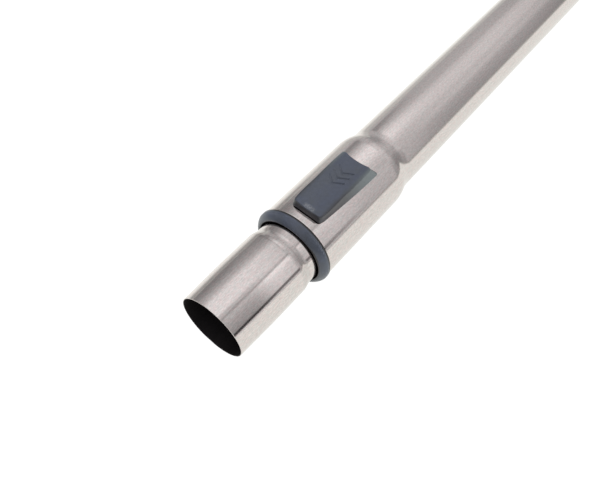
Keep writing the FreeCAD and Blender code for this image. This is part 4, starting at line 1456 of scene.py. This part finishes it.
@dataclass
class LockParts:
    """The parts of the lock and the slide fit: roller, spring, carriage, sleeve, felt, bushes and seal."""

    carriage_plastic: bpy.types.Material
    sleeve_plastic: bpy.types.Material
    bush_plastic: bpy.types.Material
    felt: bpy.types.Material
    rubber: bpy.types.Material
    roller_steel: bpy.types.Material
    spring_steel: bpy.types.Material
    felt_sides: int = 180
    felt_bore: float = 16.56
    felt_r: float = 18.04
    felt_front: float = 0.06
    felt_rear: float = 4.0
    felt_swell: float = 0.4
    felt_round: float = 0.15
    felt_fuzz: float = 0.05
    felt_mean_r: float = 17.0
    roller_r: float = 1.75
    roller_half: float = 5.5
    roller_round: float = 0.3
    roller_face_r: float = 1.0
    roller_sides: int = 72
    roller_place: float = 22.0
    roller_height: float = 16.85
    spring_r: float = 0.85
    wire_r: float = 0.15
    wire_rows: int = 481
    wire_sides: int = 12
    spring_start: float = 10.05
    spring_end: float = 18.9
    spring_turns: float = 6.0
    spring_height: float = 19.0
    end_turn_share: float = 0.12
    end_turn_room: float = 0.82
    slider_travel: float = 6.0

    def build(self) -> list[bpy.types.Object]:
        """Build the felt, the roller and the spring, and dress the nodes that keep their shape."""
        kept = {"slider_carriage": self.carriage_plastic, "guide_sleeve": self.sleeve_plastic,
                "slide_bush_left": self.bush_plastic, "slide_bush_right": self.bush_plastic,
                "slide_seal": self.rubber}
        return [self._felt(), self._roller(), self._spring(), *(dress_node(*item) for item in kept.items())]

    def _felt(self) -> bpy.types.Object:
        """Turn the felt's section; its free edges swell and a little noise roughens its skin.

        Returns:
            The felt ring.
        """
        front, rear = self.felt_front, self.felt_rear
        along, radius = rounded_loop([
            (front, self.felt_bore, self.felt_swell, 5), (rear, self.felt_bore, self.felt_swell, 5),
            (rear, self.felt_r, self.felt_round, 2), (front, self.felt_r, self.felt_round, 2)]).T[..., None]
        points = turned(along, radius, even_turns(self.felt_sides))
        middle = (self.felt_bore + self.felt_r) / 2
        rough = np.random.default_rng(4).uniform(0.0, self.felt_fuzz, points.shape[:2])
        points[..., 1:] *= (1 + np.where(radius < middle, 1, -1) * rough / self.felt_mean_r)[..., None]
        piece = new_mesh("wiper_felt_wool", [Grid(points, True, True)])
        return finish_piece(piece, self.felt, Body.OUTER, "wiper_felt")

    def _roller(self) -> bpy.types.Object:
        """Turn the roller about its own line across the wand, with rounded ends.

        Returns:
            The roller.
        """
        t = np.linspace(0.0, math.pi / 2, 6)
        flat, flat_r = self.roller_half - self.roller_round, self.roller_r - self.roller_round
        edge = np.column_stack([flat + self.roller_round * np.sin(t), flat_r + self.roller_round * np.cos(t)])
        right = np.vstack([[0.0, self.roller_r], [flat - self.roller_round, self.roller_r], edge,
                           [self.roller_half, self.roller_face_r], [self.roller_half, POLE]])
        profile = np.vstack([right[::-1] * [-1, 1], right[1:]])
        skin = pin(profile, self.roller_sides, self.roller_place, self.roller_height)
        piece = new_mesh("lock_roller_ground", [skin])
        return finish_piece(piece, self.roller_steel, Body.ROLLER, "lock_roller")

    def _spring(self) -> bpy.types.Object:
        """Carry the wire's round section along a helix whose end turns close up.

        At share t of the length the wire's middle is at the coil radius at angle turns times t, and its
        advance is slow at both ends, so that the end turns lie flat.

        Returns:
            The spring.
        """
        length = self.spring_end - self.spring_start
        t = np.linspace(0.0, 1.0, self.wire_rows)
        angle = self.spring_turns * FULL_TURN * t
        eased = np.clip((t - 0.5) / self.end_turn_room + 0.5, 0.0, 1.0)
        advance = self.end_turn_share * t + (1.0 - self.end_turn_share) * eased
        out = np.column_stack([np.zeros_like(t), np.sin(angle), np.cos(angle)])
        middle = self.spring_r * out + [0.0, 0.0, self.spring_height]
        middle[:, 0] = self.spring_start + self.wire_r + (length - 2 * self.wire_r) * advance
        ahead = unit(np.gradient(middle, axis=0))
        side = unit(np.cross(ahead, out))
        out = np.cross(side, ahead)
        turns = even_turns(self.wire_sides)[None, :, None]
        wire_r = np.full((len(t), 1, 1), self.wire_r)
        wire_r[[0, -1]] = POLE
        points = middle[:, None] + wire_r * (np.cos(turns) * out[:, None] + np.sin(turns) * side[:, None])
        piece = new_mesh("return_spring_wire", [Grid(points, False, True)])
        finish_piece(piece, self.spring_steel, Body.OUTER, "return_spring")
        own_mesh(piece)
        return piece


@dataclass(frozen=True)
class Studio:
    """Pale floor, soft light all round and the camera of the photograph.

    Bands are stops of a grey level round the wand, by degrees from the top. The world blends them by how
    far a direction points along the wand, from -1 to 1: a fade holds where a blend starts and where it
    is complete.
    """

    camera_place: tuple = (-0.6312, -0.0836, 0.2423)
    camera_right: tuple = (0.6315, -0.7720, 0.0728)
    camera_up: tuple = (0.6368, 0.5699, 0.5193)
    lens: float = 37.2
    sensor_width: float = 36.0
    clip_start: float = 0.01
    lamp_aim: tuple = (-0.45, 0.0, 0.0)
    lamps: tuple = (
        ("key_lamp", (-0.08, 0.62, 0.80), 0.5, 6.0), ("side_lamp", (-0.26, -0.95, 0.34), 0.6, 14.0),
        ("low_lamp", (-0.62, 0.80, 0.12), 0.5, 10.0))
    floor_half: float = 3.0
    ring_foot: tuple = (-0.5055, -0.0206)
    handle_foot: tuple = (0.0, -0.018)
    mouth_bands: tuple = (
        (-91, 0.90), (-88, 0.90), (-85, 0.02), (-79, 0.02), (-76, 0.36), (-50, 0.47), (-27, 0.64),
        (-25, 0.40), (-22, 0.40), (-20, 0.60), (-14, 0.66), (-6, 1.0), (34, 0.95), (48, 0.60), (66, 0.38),
        (82, 0.28), (92, 0.27))
    spigot_bands: tuple = (
        (-91, 0.95), (-88, 0.95), (-85, 0.20), (-79, 0.20), (-76, 0.90), (-48, 1.0), (-31, 1.25), (-27, 1.2),
        (-25, 0.60), (-22, 0.60), (-20, 0.85), (-8, 0.95), (2, 0.88), (30, 0.93), (44, 0.65), (58, 0.45),
        (78, 0.36), (92, 0.30))
    collar_bands: tuple = (
        (-91, 0.55), (-46, 0.62), (-28, 0.62), (-12, 0.70), (10, 1.0), (28, 1.0), (40, 0.80), (54, 0.57),
        (64, 0.38), (75, 0.31), (80, 0.40), (84, 0.56), (92, 0.50))
    tube_bands: tuple = (
        (-91, 0.42), (-76, 0.42), (-48, 0.52), (-34, 0.68), (-16, 0.66), (-4, 0.78), (20, 0.78), (34, 0.70),
        (48, 0.56), (92, 0.50))
    spigot_fade: tuple = (0.29, 0.41)
    neck_start: tuple = (0.40, 0.43)
    neck_end: tuple = (0.53, 0.46)
    neck_level: float = 0.1
    neck_cover: float = 0.32
    collar_fade: tuple = (0.44, 0.57)
    tube_fade: tuple = (0.62, 0.70)
    far_fade: tuple = (0.775, 0.87)
    far_cover: float = 0.25
    soft_fade: tuple = (-0.9, 0.6)
    soft_levels: tuple = (0.36, 0.66)

    def build(self) -> None:
        """Set up the floor, the world, the lamps and the camera."""
        self._floor()
        self._world()
        for lamp in self.lamps:
            self._lamp(*lamp)
        self._camera()

    def _floor(self) -> None:
        """Lay the floor as a plane that touches the end ring and the handle end."""
        slope = (self.handle_foot[1] - self.ring_foot[1]) / (self.handle_foot[0] - self.ring_foot[0])
        x, y = np.meshgrid([-self.floor_half, self.floor_half], [-self.floor_half, self.floor_half])
        points = np.stack([x, y, self.ring_foot[1] + slope * (x - self.ring_foot[0])], axis=-1).reshape(-1, 3)
        mesh = bpy.data.meshes.new("floor")
        mesh.from_pydata(points.tolist(), [], [[0, 1, 3, 2]])
        mesh.materials.append(PaleFloor().material())
        link_object("floor", mesh)

    def _world(self) -> None:
        """Light from all round: white to the camera, soft strips along the wand in reflections."""
        world = bpy.data.worlds.new("studio")
        world.use_nodes = True
        bpy.context.scene.world = world
        graph = Graph(world.node_tree)
        camera, glossy, _ = graph.rays()
        ahead, aside, up = graph.axes("Generated")
        share = graph.signal("ShaderNodeMath", {"operation": "ARCTAN2"}, {0: aside, 1: up}) / FULL_TURN + 0.5
        lit = []
        for bands in (self.mouth_bands, self.spigot_bands, self.collar_bands, self.tube_bands):
            stops = [((degrees + 180) / 360, level) for degrees, level in bands]
            lit.append(graph.node("ShaderNodeValToRGB", {"stops": stops}, {"Fac": share}).outputs[0])
        mouth, spigot, collar, tube = lit
        neck = ahead.ramp(*self.neck_start) * ahead.ramp(*self.neck_end) * self.neck_cover
        strips = graph.blend(ahead.ramp(*self.spigot_fade), mouth, spigot)
        strips = graph.blend(neck, strips, self.neck_level)
        strips = graph.blend(ahead.ramp(*self.collar_fade), strips, collar)
        strips = graph.blend(ahead.ramp(*self.tube_fade), strips, tube)
        strips = graph.blend(ahead.ramp(*self.far_fade) * self.far_cover, strips, 0.0)
        soft = graph.blend(ahead.ramp(*self.soft_fade), *self.soft_levels)
        colour = graph.blend(glossy, graph.blend(camera, soft, 1.0), strips)
        light = graph.node("ShaderNodeBackground", None, {"Color": colour, "Strength": 1.0})
        graph.node("ShaderNodeOutputWorld", None, {"Surface": light.outputs[0]})

    def _lamp(self, name: str, place: tuple, size: float, power: float) -> None:
        """A square soft lamp that looks at the collar and doesn't show in reflections.

        Args:
            name: the lamp's name.
            place: where it stands.
            size: its side, in metres.
            power: its power, in watts.
        """
        data = bpy.data.lights.new(name, "AREA")
        data.size = size
        data.energy = power
        lamp = link_object(name, data)
        turn = (Vector(self.lamp_aim) - Vector(place)).to_track_quat("-Z", "Y").to_matrix().to_4x4()
        lamp.matrix_world = Matrix.Translation(place) @ turn
        lamp.visible_glossy = False

    def _camera(self) -> None:
        """The camera at the photograph's place and angle."""
        right, up = Vector(self.camera_right).normalized(), Vector(self.camera_up).normalized()
        data = bpy.data.cameras.new("camera")
        data.lens = self.lens
        data.sensor_width = self.sensor_width
        data.clip_start = self.clip_start
        camera = link_object("camera", data)
        turn = Matrix((right, up, right.cross(up))).transposed().to_4x4()
        camera.matrix_world = Matrix.Translation(self.camera_place) @ turn
        bpy.context.scene.camera = camera


def main() -> None:
    """Build the wand's sub-assemblies and the studio, and report each piece."""
    logging.basicConfig(level=logging.INFO, format="%(name)s: %(message)s")
    bpy.context.scene.view_settings.view_transform = "Standard"
    slate = SlatePlastic().material()
    assemblies = [
        SteelTubes(BrushedSteel().material()),
        EndRing(slate),
        SlideButton(slate),
        LockParts(
            carriage_plastic=MouldedPlastic("carriage_plastic", (0.62, 0.60, 0.54), 0.42).material(),
            sleeve_plastic=MouldedPlastic("sleeve_plastic", (0.022, 0.022, 0.024), 0.55).material(),
            bush_plastic=MouldedPlastic("bush_plastic", (0.030, 0.030, 0.033), 0.45).material(),
            felt=WoolFelt().material(),
            rubber=SoftRubber().material(),
            roller_steel=WorkedSteel("ground_steel").material(),
            spring_steel=WorkedSteel("spring_wire", (0.50, 0.50, 0.51), 0.28, 900.0).material(),
        ),
    ]
    for assembly in assemblies:
        for piece in assembly.build():
            log.info("%s: %d faces", piece.name, len(piece.data.polygons))
    Studio().build()


if __name__ == "__main__":
    main()
